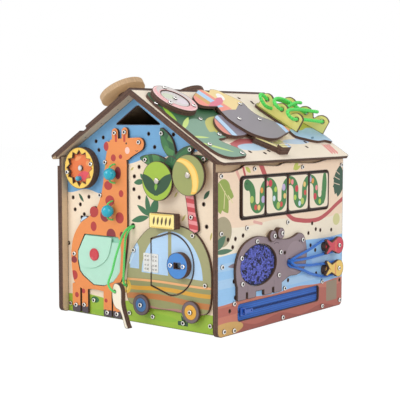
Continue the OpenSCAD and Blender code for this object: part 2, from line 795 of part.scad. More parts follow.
// Points [x, height above the ground, distance in front of the panel]
long_strand = [for (p = [[-13.6, 136, -10], [-13.4, 136, -8], [-12.4, 136, -5.4], [-11.8, 136, -3.5],
    [-11.8, 136, 0], [-12.6, 134.5, 5], [-14.4, 130, 11], [-16, 122, 16.5], [-16, 112, 21],
    [-17, 98, 27], [-18, 86, 30.5],
    [-18.5, 75, 34], [-18.7, 66, 39], [-17.4, 58.5, 42.8], [-12, 52.4, 44], [-7.8, 48.7, 41.6],
    [-7.8, 48.7, 36], [-7.8, 48.7, 31.5], [-7.8, 48.7, 29.5], [-7.8, 48.7, 27.5]]) hang(p)];
long_radii = [for (i = [0 : len(long_strand) - 1])
    i == 0 || i == 2 ? 2.2 : i == 1 ? 3.2 : i == 18 ? 3.4 : i == 19 ? 2.4 : threading_r];
short_strand = [for (p = [[-6.4, 136, -10], [-6.6, 136, -8], [-7.6, 136, -5.4], [-8.2, 136, -3.5],
    [-8.2, 136, 0], [-8.8, 134, 5], [-11.6, 129, 8.4], [-15.5, 120, 9.4], [-17.5, 108, 9],
    [-19, 95, 8.6], [-20, 80, 8.4],
    [-20.4, 68, 9], [-20.2, 59, 9.4], [-20, 53.5, 8.2], [-20, 51.4, 5], [-20, 51.4, 0], [-20, 51.4, -4.5],
    [-20, 51.4, -7], [-20, 51.4, -9]]) hang(p)];
short_radii = [for (i = [0 : len(short_strand) - 1])
    i == 0 || i == 2 ? 2.2 : i == 1 ? 3.2 : i == 17 ? 3.4 : i == 18 ? 2.4 : threading_r];

module threading_cord() {
    color("limegreen") on_front() {
        cord(long_strand, long_radii, [1, 0, 0]);
        cord(short_strand, short_radii, [1, 0, 0]);
    }
}

module threading_tusk() {
    low_h = 32;
    color("cornsilk") on_front() sheet(low_h, low_h + tusk_t) translate(cord_low_shift) difference() {
        intersection() {
            polygon(smooth([[-7.6, 60.4], [-11.8, 54.5], [-13.2, 46.5], [-12.2, 36.3], [-9.6, 29.4], [-5.4, 25.6],
                [0.4, 23.6], [4.4, 18], [7.4, 9.8], [10.6, 1.4], [13.5, -1], [16.8, 0.6], [14, 6], [10.6, 15.3],
                [7, 24.6], [4.8, 33], [4.6, 42], [4.2, 51.5], [0.6, 58.4]]));
            translate([-30, 0]) square([60, 80]);
        }
        translate([-7.8, 48.7]) circle(2.1);
    }
}

// Right wall: tiles, zipper, hippo -------------------------------------------------------

tile_w = (track_l - tile_travel - 2 - (tile_count - 1) * tile_gap) / tile_count;
tile_h = track_h - 5;
tile_back_h = -2 * ply + run_gap;
tile_body_low = -ply - run_gap;

module tile_track_back() {
    margin = 6;
    color("burlywood") on_right() sheet(-3 * ply, -2 * ply)
        rounded_rect(track_left - margin, track_low - margin, track_left + track_l + margin,
            min(track_low + track_h + margin, under_roof_z(wall_in) - 1), 2);
}

module snake_tile(i) {
    x0 = track_left + tile_travel + 0.5 + i * (tile_w + tile_gap);
    z0 = track_low + (track_h - tile_h) / 2;
    color("mintcream") on_right() {
        sheet(tile_body_low, 0) rounded_rect(x0, z0, x0 + tile_w, z0 + tile_h, 3);
        sheet(tile_back_h, tile_body_low)
            rounded_rect(x0 - tile_lip, z0 - 4.5 + run_gap, x0 + tile_w + tile_lip,
                z0 + tile_h + 4.5 - run_gap, 3);
    }
}

zip_mid = zip_low + zip_h / 2;
tape_low_h = -ply - 0.8;

module zipper_tapes() {
    ridge_w = 2.2;
    color("steelblue") on_right() for (s = [-1, 1]) {
        sheet(tape_low_h, -ply) translate([zip_left - 4, zip_mid + (s > 0 ? zip_slit / 2 : -zip_h / 2 - 2)])
            square([zip_l + 8, zip_h / 2 + 2 - zip_slit / 2]);
        sheet(-ply, -ply + 1) translate([zip_left, zip_mid + (s > 0 ? zip_slit / 2 : -zip_slit / 2 - ridge_w)])
            square([zip_l, ridge_w]);
    }
}

slider_at = zip_left + 8;
slider_h = -ply + 1 + run_gap;
pull_axis_x = slider_at + slider_l / 2;
pull_axis_h = 1.2;
pull_pin_r = 0.6;
pull_knuckle_r = 1.1;
pull_w = 5;

module slider_wing(low, high) {
    sheet(low, high) polygon([[slider_at, zip_mid - 5.5], [slider_at + slider_l - 4, zip_mid - 5.5],
        [slider_at + slider_l, zip_mid - 3.5], [slider_at + slider_l, zip_mid + 3.5],
        [slider_at + slider_l - 4, zip_mid + 5.5], [slider_at, zip_mid + 5.5]]);
}

module zipper_slider() {
    post_t = zip_slit - 2 * run_gap;
    lug_t = 1.2;
    wing_t = 1.5;
    color("gainsboro") on_right() {
        slider_wing(slider_h, slider_h + wing_t);
        slider_wing(tape_low_h - run_gap - wing_t, tape_low_h - run_gap);
        sheet(tape_low_h - run_gap, slider_h) translate([slider_at + slider_l - 5, zip_mid - post_t / 2])
            square([4, post_t]);
        for (s = [-1, 1])
            translate([pull_axis_x - 1.4, zip_mid + s * (pull_w / 2 + run_gap + lug_t / 2) - lug_t / 2,
                slider_h + wing_t]) cube([2.8, lug_t, pull_axis_h + 1.2 - slider_h - wing_t]);
        upright_rod(pull_axis_x, pull_axis_h, zip_mid - pull_w / 2 - run_gap - lug_t / 2,
            zip_mid + pull_w / 2 + run_gap + lug_t / 2, pull_pin_r);
    }
}

module zipper_pull() {
    color("gainsboro") on_right() difference() {
        union() {
            upright_rod(pull_axis_x, pull_axis_h, zip_mid - pull_w / 2, zip_mid + pull_w / 2, pull_knuckle_r);
            sheet(pull_axis_h - 0.5, pull_axis_h + 0.5) difference() {
                rounded_rect(pull_axis_x, zip_mid - pull_w / 2, pull_axis_x + zip_pull_l,
                    zip_mid + pull_w / 2, 2);
                translate([pull_axis_x + zip_pull_l - 3.5, zip_mid]) circle(1.3);
            }
        }
        upright_rod(pull_axis_x, pull_axis_h, zip_mid - pull_w, zip_mid + pull_w, pull_pin_r + pin_gap);
    }
}

module oval(p, rx, ry) {
    at(p) polygon([for (a = [0 : 9 : 351]) [rx * cos(a), ry * sin(a)]]);
}

sequin_rx = 42.5 * fit_y;
sequin_ry = (wall_z(116.5) - wall_z(59.5)) / 2;

module hippo_outline() {
    polygon(smooth([for (p = [[-122, 80], [-119, 100], [-108, 116], [-88, 125], [-68, 127], [-45, 123],
        [-20, 119], [0, 117], [16, 119], [30, 123], [42, 118], [49, 102], [49, 82], [42, 69], [25, 63],
        [5, 63], [-10, 58], [-30, 53], [-60, 52], [-95, 53], [-116, 60]]) wall_fit(p)]));
    for (x = [-118, -95, -57, -33])
        rounded_rect(x * fit_y, wall_z(44), (x + 19) * fit_y, wall_z(66), 2);
}

module hippo_plate() {
    color("lightsteelblue") on_right() {
        sheet(0, layer1) difference() {
            hippo_outline();
            oval(sequin_at, sequin_rx, sequin_ry);
            at(mouth_at) circle(5.4);
            at(wall_fit([-7, 98])) circle(drill_r, $fn = 24);
        }
        for (i = [0, 1])
            sheet(i == 0 ? layer1 : 0, layer2) at(hippo_ears[i]) circle(8);
    }
}

module sequin_patch() {
    color("slateblue") on_right() sheet(0, 1.6) oval(sequin_at, sequin_rx - run_gap, sequin_ry - run_gap);
}

module fish_outline(p, tilt) {
    at(p) rotate(tilt) {
        circle(13);
        polygon([[-6, 11], [-20, 6], [-33, 12], [-36, 10], [-27, 0.5], [-36, -9], [-33, -11], [-20, -6],
            [-6, -11]]);
    }
}

// The post that holds a fish off the wall, and that an elastic hooks round
module fish_post(p) {
    at(p) rounded_rect(-32, -7, 3, 7, 6.9);
}

module fish_hooks() {
    color("indianred") on_right() {
        sheet(0, layer2) fish_post(red_fish_at);
        sheet(layer2, layer3) fish_outline(red_fish_at, 0);
        sheet(0, layer2) fish_post(yellow_fish_at);
        sheet(layer2, layer3) fish_outline(yellow_fish_at, -5);
    }
}

elastic_r = 2;

// Moves a point drawn between a mouth at [4, 83] and a fish
function stretch(p, fish, drawn) = let (s = max(0, min(1, (p[0] - 11) / 79)))
    concat([p[0], p[1]] + (1 - s) * (mouth_at - [4, 83]) + s * (fish - drawn), [p[2]]);

// Points [y, z, height over the cover]: out of the hippo's mouth and round a fish's post
red_route = [for (p = [[6.2, 85.2, 0.4], [6.2, 85.2, 4], [9, 87, 6.4], [20, 90, 6.6], [36, 93, 6.6],
    [52, 96, 6.2], [70, 100, 5.2], [90, 105.2, 5], [110, 105.6, 5], [127, 105.4, 5],
    [132.6, 101, 5], [133, 93, 5],
    [129.5, 88, 5], [118, 86.4, 5], [95, 85.6, 5], [75, 84.6, 5], [52, 84, 6.2], [36, 84.2, 6.6],
    [20, 84.4, 6.6], [11, 84, 6.4], [6.4, 80.8, 4], [6.2, 80.8, 0.4]]) stretch(p, red_fish_at, [127, 96])];
yellow_route = [for (p = [[1.8, 85.2, 0.4], [1.8, 85.2, 4], [1.2, 84.2, 9.4], [5, 80.6, 10.8],
    [12, 78.4, 10.4], [24, 77, 8], [40, 75, 6.6], [56, 73, 6], [75, 71.8, 5], [95, 71, 5],
    [112, 70.6, 5], [127, 70.4, 5],
    [132.6, 66, 5], [133, 58, 5], [129.5, 53, 5], [118, 51.6, 5], [95, 51.6, 5], [75, 56, 5], [56, 61, 5.6],
    [40, 67, 6.6], [24, 72, 6.6], [12, 75.6, 6.6], [5, 77, 6.4], [1.8, 79.6, 4.6], [1.8, 80.8, 0.4]])
    stretch(p, yellow_fish_at, [127, 61])];

module elastic_loops() {
    color("royalblue") on_right() for (route = [red_route, yellow_route])
        cord(smooth_path(route, 2), even(smooth_path(route, 2), elastic_r), [0.3, 0.2, 1]);
}

// Right roof -------------------------------------------------------------------------

module leaf_plate() {
    color("seagreen") on_right_roof() sheet(0, layer1)
        polygon(smooth([for (p = [[-157, 120], [-158, 80], [-158, 40], [-153, 16], [-138, 7], [-118, 7],
            [-100, 10], [-97, 24], [-112, 40], [-116, 50], [-98, 53], [-78, 62], [-60, 76], [-47, 98],
            [-45, 128], [-58, 150], [-78, 168], [-110, 173], [-142, 171], [-153, 155]]) roof_fit(p)], 3));
}

module roof_ring() {
    color("lightpink") on_right_roof() at(roof_ring_at) {
        sheet(layer1, layer2) difference() {
            circle(roof_ring_r, $fn = 96);
            circle(roof_ring_r - 4, $fn = 96);
        }
        sheet(layer2, layer3) difference() {
            circle(roof_ring_r, $fn = 96);
            circle(roof_window_r, $fn = 96);
        }
    }
}

roof_boss_high = layer3 - 1;

// The disc fills the ring's window nearly to the top
module roof_ring_disc() {
    bore = pivot_r + pin_gap;
    color("lavender") on_right_roof() translate([roof_ring_at[0], roof_ring_at[1], 0])
        rotate_extrude($fn = 96) polygon([[bore, layer1 + run_gap], [roof_ring_r - 4 - run_gap, layer1 + run_gap],
            [roof_ring_r - 4 - run_gap, layer2 - run_gap], [roof_window_r - 0.5, layer2 - run_gap],
            [roof_window_r - 0.5, roof_boss_high], [bore, roof_boss_high]]);
}

module toucan_plate() {
    beak = [[-81, 132], [-73, 148], [-53, 161], [-36, 170], [-24, 166], [-16, 150], [-24, 132],
        [-38, 124], [-60, 122], [-77, 124]];
    body = [[-10, 171], [6, 170], [14, 160], [22, 151], [30, 136], [25, 118], [24, 104],
        [30, 93], [44, 83], [60, 60], [32, 47], [5, 38], [-13, 36], [-28, 39], [-45, 50], [-53, 68],
        [-56, 90], [-49, 115], [-39, 135], [-28, 155]];
    base = [[-12, 162], [8, 160], [20, 140], [14, 115], [18, 92], [38, 72], [30, 56], [0, 62],
        [-28, 60], [-38, 80], [-38, 105], [-30, 132]];
    color("gray") on_right_roof() {
        sheet(layer2, layer3) for (part = [beak, body])
            polygon(smooth([for (p = part) roof_fit(p)]));
        sheet(0, layer2) polygon(smooth([for (p = base) roof_fit(p)]));
    }
}

module wing_plate() {
    color("cadetblue") on_right_roof() sheet(layer1, layer2)
        polygon(smooth([for (p = [[-80, 95], [-66, 104], [-51, 105], [-44, 88], [-45, 66], [-52, 54],
            [-80, 51], [-97, 58], [-94, 78]]) roof_fit(p)]));
}

module tail_lever() {
    low = roof_fit([-19, 12]);
    high = roof_fit([5, 22]);
    color("orange") on_right_roof() {
        sheet(0, layer2) polygon([for (p = [[-44, 45], [-36, 47], [-12, 24], [-18, 17]]) roof_fit(p)]);
        sheet(0, layer3) rounded_rect(low[0], low[1], high[0], high[1], 3);
    }
}

module lacing_base() {
    color("olivedrab") on_right_roof() sheet(0, layer1)
        polygon(smooth([for (p = [[78, 142], [79, 111], [82, 84], [76, 66], [75, 54], [91, 46], [115, 38],
            [139, 40], [153, 36], [155, 62], [155, 100], [154, 130], [146, 148], [120, 146], [98, 150]])
            roof_fit(p)], 3));
}

// One upright plate from a to b, with three rounded ears that each have a hole for the lace
module lacing_plate(a, b) {
    long = norm(b - a);
    valley = lacing_h - 11;
    ear = [[-0.5, valley - lacing_h], [-0.36, -5], [-0.17, -0.9], [0, 0], [0.17, -0.9], [0.36, -5]];
    ears = [for (s = [-1, 0, 1], q = ear) [long / 2 + (s + q[0]) * lacing_pitch, lacing_h + q[1]]];
    end = [long / 2 + 1.5 * lacing_pitch, valley];
    translate([a[0], a[1], layer1]) rotate(atan2(b[1] - a[1], b[0] - a[0])) rotate([90, 0, 0])
        translate([0, 0, -ply / 2]) linear_extrude(ply) difference() {
            intersection() {
                square([long, lacing_h]);
                polygon(concat([[ears[0][0], 0]], smooth_path(concat(ears, [end])), [[end[0], 0]]));
            }
            for (s = [-1, 0, 1])
                translate([long / 2 + s * lacing_pitch, lacing_h - 9]) circle(lacing_hole_r);
        }
}

module lacing_frame() {
    color("beige") on_right_roof() {
        lacing_plate(lacing_front[0], lacing_front[1]);
        lacing_plate(lacing_rear[0], lacing_rear[1]);
    }
}

lace_r = 2.3;
lace_h = layer1 + lacing_h - 9;

function hole_on(line, s) = (line[0] + line[1]) / 2 + s * lacing_pitch * unit(line[1] - line[0]);

// Where the lace passes a hole, that far across the plate
function lace_at(line, s, across) = concat(hole_on(line, s)
    + across * unit([line[0][1] - line[1][1], line[1][0] - line[0][0]]), [lace_h]);

module roof_lace() {
    f = lacing_front;
    r = lacing_rear;
    start = [[80, 121, -9], [73, 124, -7], [66.5, 128, -1], [68, 131, 5], [73, 131.5, 4]];
    bends = [[106, 126, 0.5], [140, 117, 1], [147, 106, 1], [114, 99, 0], [77.5, 98, 0.5], [76.5, 87, 1],
        [79.5, 76, 0.5], [120, 68, 0], [158, 68, -1], [160, 64, -3]];
    b = [for (p = bends) roof_fit([p[0], p[1], lace_h + p[2]])];
    route = concat([for (p = start) roof_fit([p[0], p[1], lace_h + p[2]])],
        [lace_at(f, -1, -3.5), lace_at(f, -1, 3.5), b[0], lace_at(r, -1, -3.5), lace_at(r, -1, 3.5), b[1], b[2],
        lace_at(r, 0, 6), lace_at(r, 0, 3), lace_at(r, 0, -3.5), b[3], lace_at(f, 0, 3.5), lace_at(f, 0, -3.5),
        b[4], b[5], b[6], lace_at(f, 1, -3.5), lace_at(f, 1, 3.5), b[7], lace_at(r, 1, -3.5),
        lace_at(r, 1, 3.5), b[8], b[9]]);
    path = smooth_path(route, 2);
    color("lawngreen") on_right_roof() cord(path, even(path, lace_r), [0.05, 0.1, 1]);
}

// Left roof ----------------------------------------------------------------------------

spinner_low = 16;

module left_spinner() {
    color("burlywood") on_left_roof()
        turning_disc([-spinner_at[0], spinner_at[1]], spinner_r, spinner_low, spinner_low + layer2);
}

module left_round_plate() {
    color("burlywood") on_left_roof() at([-round_plate_at[0], round_plate_at[1]]) {
        sheet(0, layer1) circle(roof_ring_r - 8, $fn = 96);
        sheet(layer1, layer3) circle(roof_ring_r, $fn = 96);
    }
}

// Fasteners ------------------------------------------------------------------------------

module panel_screws() {
    color("silver") {
        on_front() {
            for (p = concat(giraffe_screws, palm_screws, van_screws))
                screw_head(p, layer1);
            for (p = panel_face_screws)
                screw_head(p, 0);
            for (tooth = [1, 1 + 2 * floor(dial_teeth / 2)])
                screw_head(dial_at + (dial_r - 5) * [cos(180 * tooth / dial_teeth), sin(180 * tooth / dial_teeth)],
                    layer3);
            for (p = [small_disc_at, large_disc_at])
                screw_head(p, layer3 + run_gap);
            for (p = [front_wheel_at, rear_wheel_at])
                screw_head(p, layer2 + run_gap);
        }
        on_right() {
            for (p = hippo_screws)
                screw_head(p, layer1);
            for (p = wall_face_screws)
                screw_head(p, 0);
            for (p = hippo_ears)
                screw_head(p + [2, 0], layer2);
            for (p = [red_fish_at, yellow_fish_at])
                screw_head(p, layer3);
        }
        on_right_roof() {
            for (p = leaf_screws)
                screw_head(p, layer1);
            for (a = ring_screw_angles)
                screw_head(roof_ring_at + (roof_ring_r - 6) * [cos(a), sin(a)], layer3);
            for (p = toucan_screws)
                screw_head(p, layer3);
            screw_head(roof_ring_at, roof_boss_high + run_gap);
        }
        on_left_roof() screw_head([-spinner_at[0], spinner_at[1]], spinner_low + layer2 + run_gap);
    }
}

module pivot_posts() {
    color("tan") {
        on_front() {
            pivot_post(small_disc_at, 0, layer2, layer3, 8);
            pivot_post(large_disc_at, 0, layer2, layer3, 8);
            for (p = [front_wheel_at, rear_wheel_at])
                at(p) sheet(layer1, layer2 + run_gap) circle(pivot_r);
        }
        on_right_roof() at(roof_ring_at) sheet(layer1, roof_boss_high + run_gap) circle(pivot_r);
        on_left_roof() pivot_post([-spinner_at[0], spinner_at[1]], 0, spinner_low, spinner_low + layer2, 8);
    }
}

floor_panel();
front_panel();
back_panel();
left_wall();
left_wall_cover();
right_wall();
right_wall_cover();
roof_left_slab();
roof_left_cover();
roof_right_slab();
roof_right_cover();
giraffe_plate();
felt_pouch();
pouch_flap();
snap_button();
upper_bead();
lower_bead();
bead_cords();
palm_plate();
small_disc();
large_disc();
van_plate();
van_sign();
van_door();
door_pull();
hinge_frame_leaf();
hinge_door_leaf();
front_wheel();
rear_wheel();
dial_ring();
dial_disc();
dial_peg();
small_bird();
threading_cord();
threading_tusk();
tile_track_back();
snake_tile(0);  // snake_tile_1
snake_tile(1);  // snake_tile_2
snake_tile(2);  // snake_tile_3
snake_tile(3);  // snake_tile_4
zipper_tapes();
zipper_slider();
zipper_pull();
hippo_plate();
sequin_patch();
fish_hooks();
elastic_loops();
leaf_plate();
roof_ring();
roof_ring_disc();
toucan_plate();
wing_plate();
tail_lever();
lacing_base();
lacing_frame();
roof_lace();
left_spinner();
left_round_plate();
panel_screws();
pivot_posts();
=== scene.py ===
import math
import random

import bmesh
import bpy
from mathutils import Matrix, Vector


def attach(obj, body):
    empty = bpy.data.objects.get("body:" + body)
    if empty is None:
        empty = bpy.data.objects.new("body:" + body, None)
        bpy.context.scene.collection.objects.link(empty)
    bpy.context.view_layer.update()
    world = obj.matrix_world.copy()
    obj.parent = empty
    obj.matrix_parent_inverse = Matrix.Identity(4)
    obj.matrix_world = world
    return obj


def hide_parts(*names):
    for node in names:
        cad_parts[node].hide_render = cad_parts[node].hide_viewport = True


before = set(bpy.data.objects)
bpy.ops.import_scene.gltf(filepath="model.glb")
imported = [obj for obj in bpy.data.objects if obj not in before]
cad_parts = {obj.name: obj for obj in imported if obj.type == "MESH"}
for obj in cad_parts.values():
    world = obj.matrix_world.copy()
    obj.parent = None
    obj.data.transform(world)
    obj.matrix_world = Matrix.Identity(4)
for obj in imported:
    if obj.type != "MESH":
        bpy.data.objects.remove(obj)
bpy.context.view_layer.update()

MM = 0.001
TO_MM = 1000
PITCH = math.radians(31.4)
RISE = Vector((math.cos(PITCH), 0, math.sin(PITCH)))
HALF_WIDTH = 150
PANEL_FACE = 144
EAVE = (161, 229.7)
PLY = 4
PLATE_TOP = 3 * PLY
RUN_GAP = 0.3


# Camera -------------------------------------------------------------------------------

def add_camera():
    turn, above, away = math.radians(38.92), math.radians(4.65), 1.4956
    aim = Vector((-5.51, 0, 163.85)) * MM
    back = Vector((math.sin(turn) * math.cos(above), -math.cos(turn) * math.cos(above), math.sin(above)))
    lens = bpy.data.cameras.new("camera")
    lens.lens = 89.05
    lens.sensor_width = 36
    camera = bpy.data.objects.new("camera", lens)
    camera.location = aim + away * back
    camera.rotation_mode = "QUATERNION"
    camera.rotation_quaternion = (-back).to_track_quat("-Z", "Y")
    bpy.context.scene.collection.objects.link(camera)
    bpy.context.scene.camera = camera


# Places on the house ------------------------------------------------------------------

def on_front(x, z, out=0):
    return Vector((x, -PANEL_FACE - out, z)) * MM


def on_right(y, z, out=0):
    return Vector((HALF_WIDTH + out, y, z)) * MM


def on_right_roof(y, up, out=0):
    a = PITCH
    return Vector((EAVE[0] - up * math.cos(a) + out * math.sin(a), y,
                   EAVE[1] + up * math.sin(a) + out * math.cos(a))) * MM


def on_left_roof(y, up, out=0):
    p = on_right_roof(y, up, out)
    return Vector((-p.x, p.y, p.z))


def around(centre, reach, turn):
    return centre[0] + reach * math.cos(turn), centre[1] + reach * math.sin(turn)


# Middles of the turning pieces and of the door's fittings, in the two directions of their face
SMALL_DISC, LARGE_DISC, DIAL = (45.3, 202), (99.94, 211.73), (-104.5, 215)
FRONT_WHEEL, REAR_WHEEL = (11, 27.5), (100.5, 28)
HINGE_X, PULL_AT = 27.2, (81.5, 89.5)
ROOF_RING, ROOF_RING_SCREWS = (-117, 143), (80, 210, 312)

# Which way each face looks: across it, up it and out of it, and where its zero lies
EAVE_ZERO = EAVE[0] * RISE.x - EAVE[1] * RISE.z
FACES = {
    "front": ((1, 0, 0), (0, 0, 1), (0, -1, 0), 0),
    "right": ((0, 1, 0), (0, 0, 1), (1, 0, 0), 0),
    "left": ((0, -1, 0), (0, 0, 1), (-1, 0, 0), 0),
    "right_roof": ((0, 1, 0), (-RISE.x, 0, RISE.z), (RISE.z, 0, RISE.x), EAVE_ZERO),
    "left_roof": ((0, -1, 0), (RISE.x, 0, RISE.z), (-RISE.z, 0, RISE.x), EAVE_ZERO),
    "floor": ((1, 0, 0), (0, 1, 0), (0, 0, 1), 0),
    "lacing": ((0.2, 0, 0), (RISE.z, 0, RISE.x), (0.12, -0.99, -0.07), 0),
}


# Modelling helpers --------------------------------------------------------------------

def select_only(*pieces):
    for o in bpy.context.selected_objects:
        o.select_set(False)
    for o in pieces:
        o.select_set(True)
    bpy.context.view_layer.objects.active = pieces[0] if pieces else None


def name_piece(name):
    piece = bpy.context.object
    piece.name = name
    piece.data.name = name
    return piece


def settle(piece):
    """Puts the piece's place into its mesh."""
    bpy.context.view_layer.update()
    piece.data.transform(piece.matrix_world)
    piece.matrix_world = Matrix.Identity(4)
    return piece


def apply_modifiers(piece):
    select_only(piece)
    for modifier in list(piece.modifiers):
        bpy.ops.object.modifier_apply(modifier=modifier.name)
    return piece


def ride_on(piece, body, slot, *stands_for):
    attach(piece, body)
    if stands_for:
        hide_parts(*stands_for)


def turn_to(face):
    """The turn that lays a piece made on the floor, facing up, onto a face."""
    across, up, out, _ = FACES[face]
    return Matrix((across, up, out)).transposed().to_4x4()


def repeat(master, name, places):
    """Copies of one modelled piece at each place, joined into one object. The master goes."""
    copies = []
    for place in places:
        copy = master.copy()
        copy.data = master.data.copy()
        copy.data.transform(place)
        bpy.context.scene.collection.objects.link(copy)
        copies.append(copy)
    select_only(*copies)
    bpy.ops.object.join()
    piece = name_piece(name)
    bpy.data.objects.remove(master)
    return piece


def mesh_piece(name, points, faces, uvs):
    mesh = bpy.data.meshes.new(name)
    mesh.from_pydata([tuple(p) for p in points], [], faces)
    layer = mesh.uv_layers.new(name="UVMap")
    for loop in mesh.loops:
        layer.data[loop.index].uv = uvs[loop.index]
    for polygon in mesh.polygons:
        polygon.use_smooth = True
    mesh.update()
    piece = bpy.data.objects.new(name, mesh)
    bpy.context.scene.collection.objects.link(piece)
    return piece


def spline(points, steps):
    """A smooth curve through the points."""
    found = []
    for i in range(len(points) - 1):
        a, b = points[max(i - 1, 0)], points[i]
        c, d = points[i + 1], points[min(i + 2, len(points) - 1)]
        for s in range(steps):
            t = s / steps
            found.append(0.5 * (2 * b + (c - a) * t + (2 * a - 5 * b + 4 * c - d) * t * t
                                + (3 * b - a - 3 * c + d) * t * t * t))
    found.append(points[-1])
    return found


def eased(path, step, passes):
    """The path with its points set an even step apart and its sharp turns rounded."""
    even = [path[0]]
    for a, b in zip(path, path[1:]):
        while (b - even[-1]).length > step and (b - a).length > 0:
            even.append(even[-1] + (b - even[-1]).normalized() * step)
    even.append(path[-1])
    for _ in range(passes):
        even = [even[0]] + [(a + 2 * b + c) / 4 for a, b, c in zip(even, even[1:], even[2:])] + [even[-1]]
    return even


def tube(name, path, radius, sides=12):
    """A round cord along the path. Its map runs along it in millimetres and once round it."""
    last = len(path) - 1
    side = (path[1] - path[0]).orthogonal().normalized()
    points, reach = [], [0]
    for i in range(last + 1):
        ahead = (path[min(i + 1, last)] - path[max(i - 1, 0)]).normalized()
        side = (side - ahead * side.dot(ahead)).normalized()
        other = ahead.cross(side)
        for k in range(sides):
            turn = 2 * math.pi * k / sides
            points.append(path[i] + radius * (math.cos(turn) * side + math.sin(turn) * other))
        if i:
            reach.append(reach[-1] + (path[i] - path[i - 1]).length / MM)
    faces, uvs = [], []
    for i in range(last):
        for k in range(sides):
            n = (k + 1) % sides
            faces.append((i * sides + k, i * sides + n, (i + 1) * sides + n, (i + 1) * sides + k))
            uvs += [(reach[i], k / sides), (reach[i], (k + 1) / sides),
                    (reach[i + 1], (k + 1) / sides), (reach[i + 1], k / sides)]
    faces.append(tuple(range(sides - 1, -1, -1)))
    faces.append(tuple(last * sides + k for k in range(sides)))
    uvs += [(0, k / sides) for k in range(2 * sides)]
    return mesh_piece(name, points, faces, uvs)


def knot(name, centre, along, radius, cord_radius):
    """A pulled-tight overhand knot."""
    turn = along.to_track_quat("Z", "Y").to_matrix()
    ring = []
    for i in range(49):
        t = 2 * math.pi * i / 48
        ring.append(centre + turn @ (Vector((math.sin(t) + 1.35 * math.sin(2 * t),
                                             math.cos(t) - 1.35 * math.cos(2 * t),
                                             -1.1 * math.sin(3 * t))) * radius * 0.42))
    return tube(name, ring, cord_radius, 8)


# Threading cord -----------------------------------------------------------------------

THREADING_CORD = 3.2
# Along the front, height above the ground, distance in front of the panel
LONG_STRAND = [(-13.6, 136, -9), (-13.4, 136, -8), (-12.4, 136, -5.4), (-11.8, 136, -3.5), (-11.8, 136, 0),
               (-12.6, 134.5, 5), (-14.4, 130, 11), (-16, 122, 16.5), (-16, 112, 21), (-17, 98, 27),
               (-18, 86, 30.5), (-18.5, 75, 34), (-18.7, 66, 39), (-17.4, 58.5, 42.8), (-12, 52.4, 44),
               (-7.8, 48.7, 41.6), (-7.8, 48.7, 36), (-7.8, 48.7, 31.5), (-7.8, 48.7, 29)]
SHORT_STRAND = [(-6.4, 136, -9), (-6.6, 136, -8), (-7.6, 136, -5.4), (-8.2, 136, -3.5), (-8.2, 136, 0),
                (-8.8, 134, 5), (-11.6, 129, 8.4), (-15.5, 120, 9.4), (-17.5, 108, 9), (-19, 95, 8.6),
                (-20, 80, 8.4), (-20.4, 68, 9), (-20.2, 59, 9.4), (-20, 53.5, 8.2), (-20, 51.4, 5),
                (-20, 51.4, 0), (-20, 51.4, -4.5), (-20, 51.4, -7), (-20, 51.4, -8)]


def add_threading_cord():
    pieces = []
    for name, strand in (("long_strand", LONG_STRAND), ("short_strand", SHORT_STRAND)):
        path = spline([on_front(*p) for p in strand], 4)
        cord = tube(name, path, THREADING_CORD / 2 * MM)
        ends = [(path[0], path[1] - path[0]), (path[-1], path[-1] - path[-2])]
        knots = [knot(f"{name}_knot_{i + 1}", p, d, 2.6 * MM, 1.2 * MM) for i, (p, d) in enumerate(ends)]
        ride_on(cord, "house", "green_cord", "threading_cord")
        for o in knots:
            ride_on(o, "house", "green_cord")
        pieces.append((cord, knots, path))
    return [o for cord, knots, _ in pieces for o in [cord, *knots]]


add_camera()
threading_pieces = add_threading_cord()


# Shader nodes ---------------------------------------------------------------------------

def linear(channel):
    c = channel / 255
    return c / 12.92 if c <= 0.04045 else ((c + 0.055) / 1.055) ** 2.4


def tint(red, green, blue):
    return (linear(red), linear(green), linear(blue), 1)


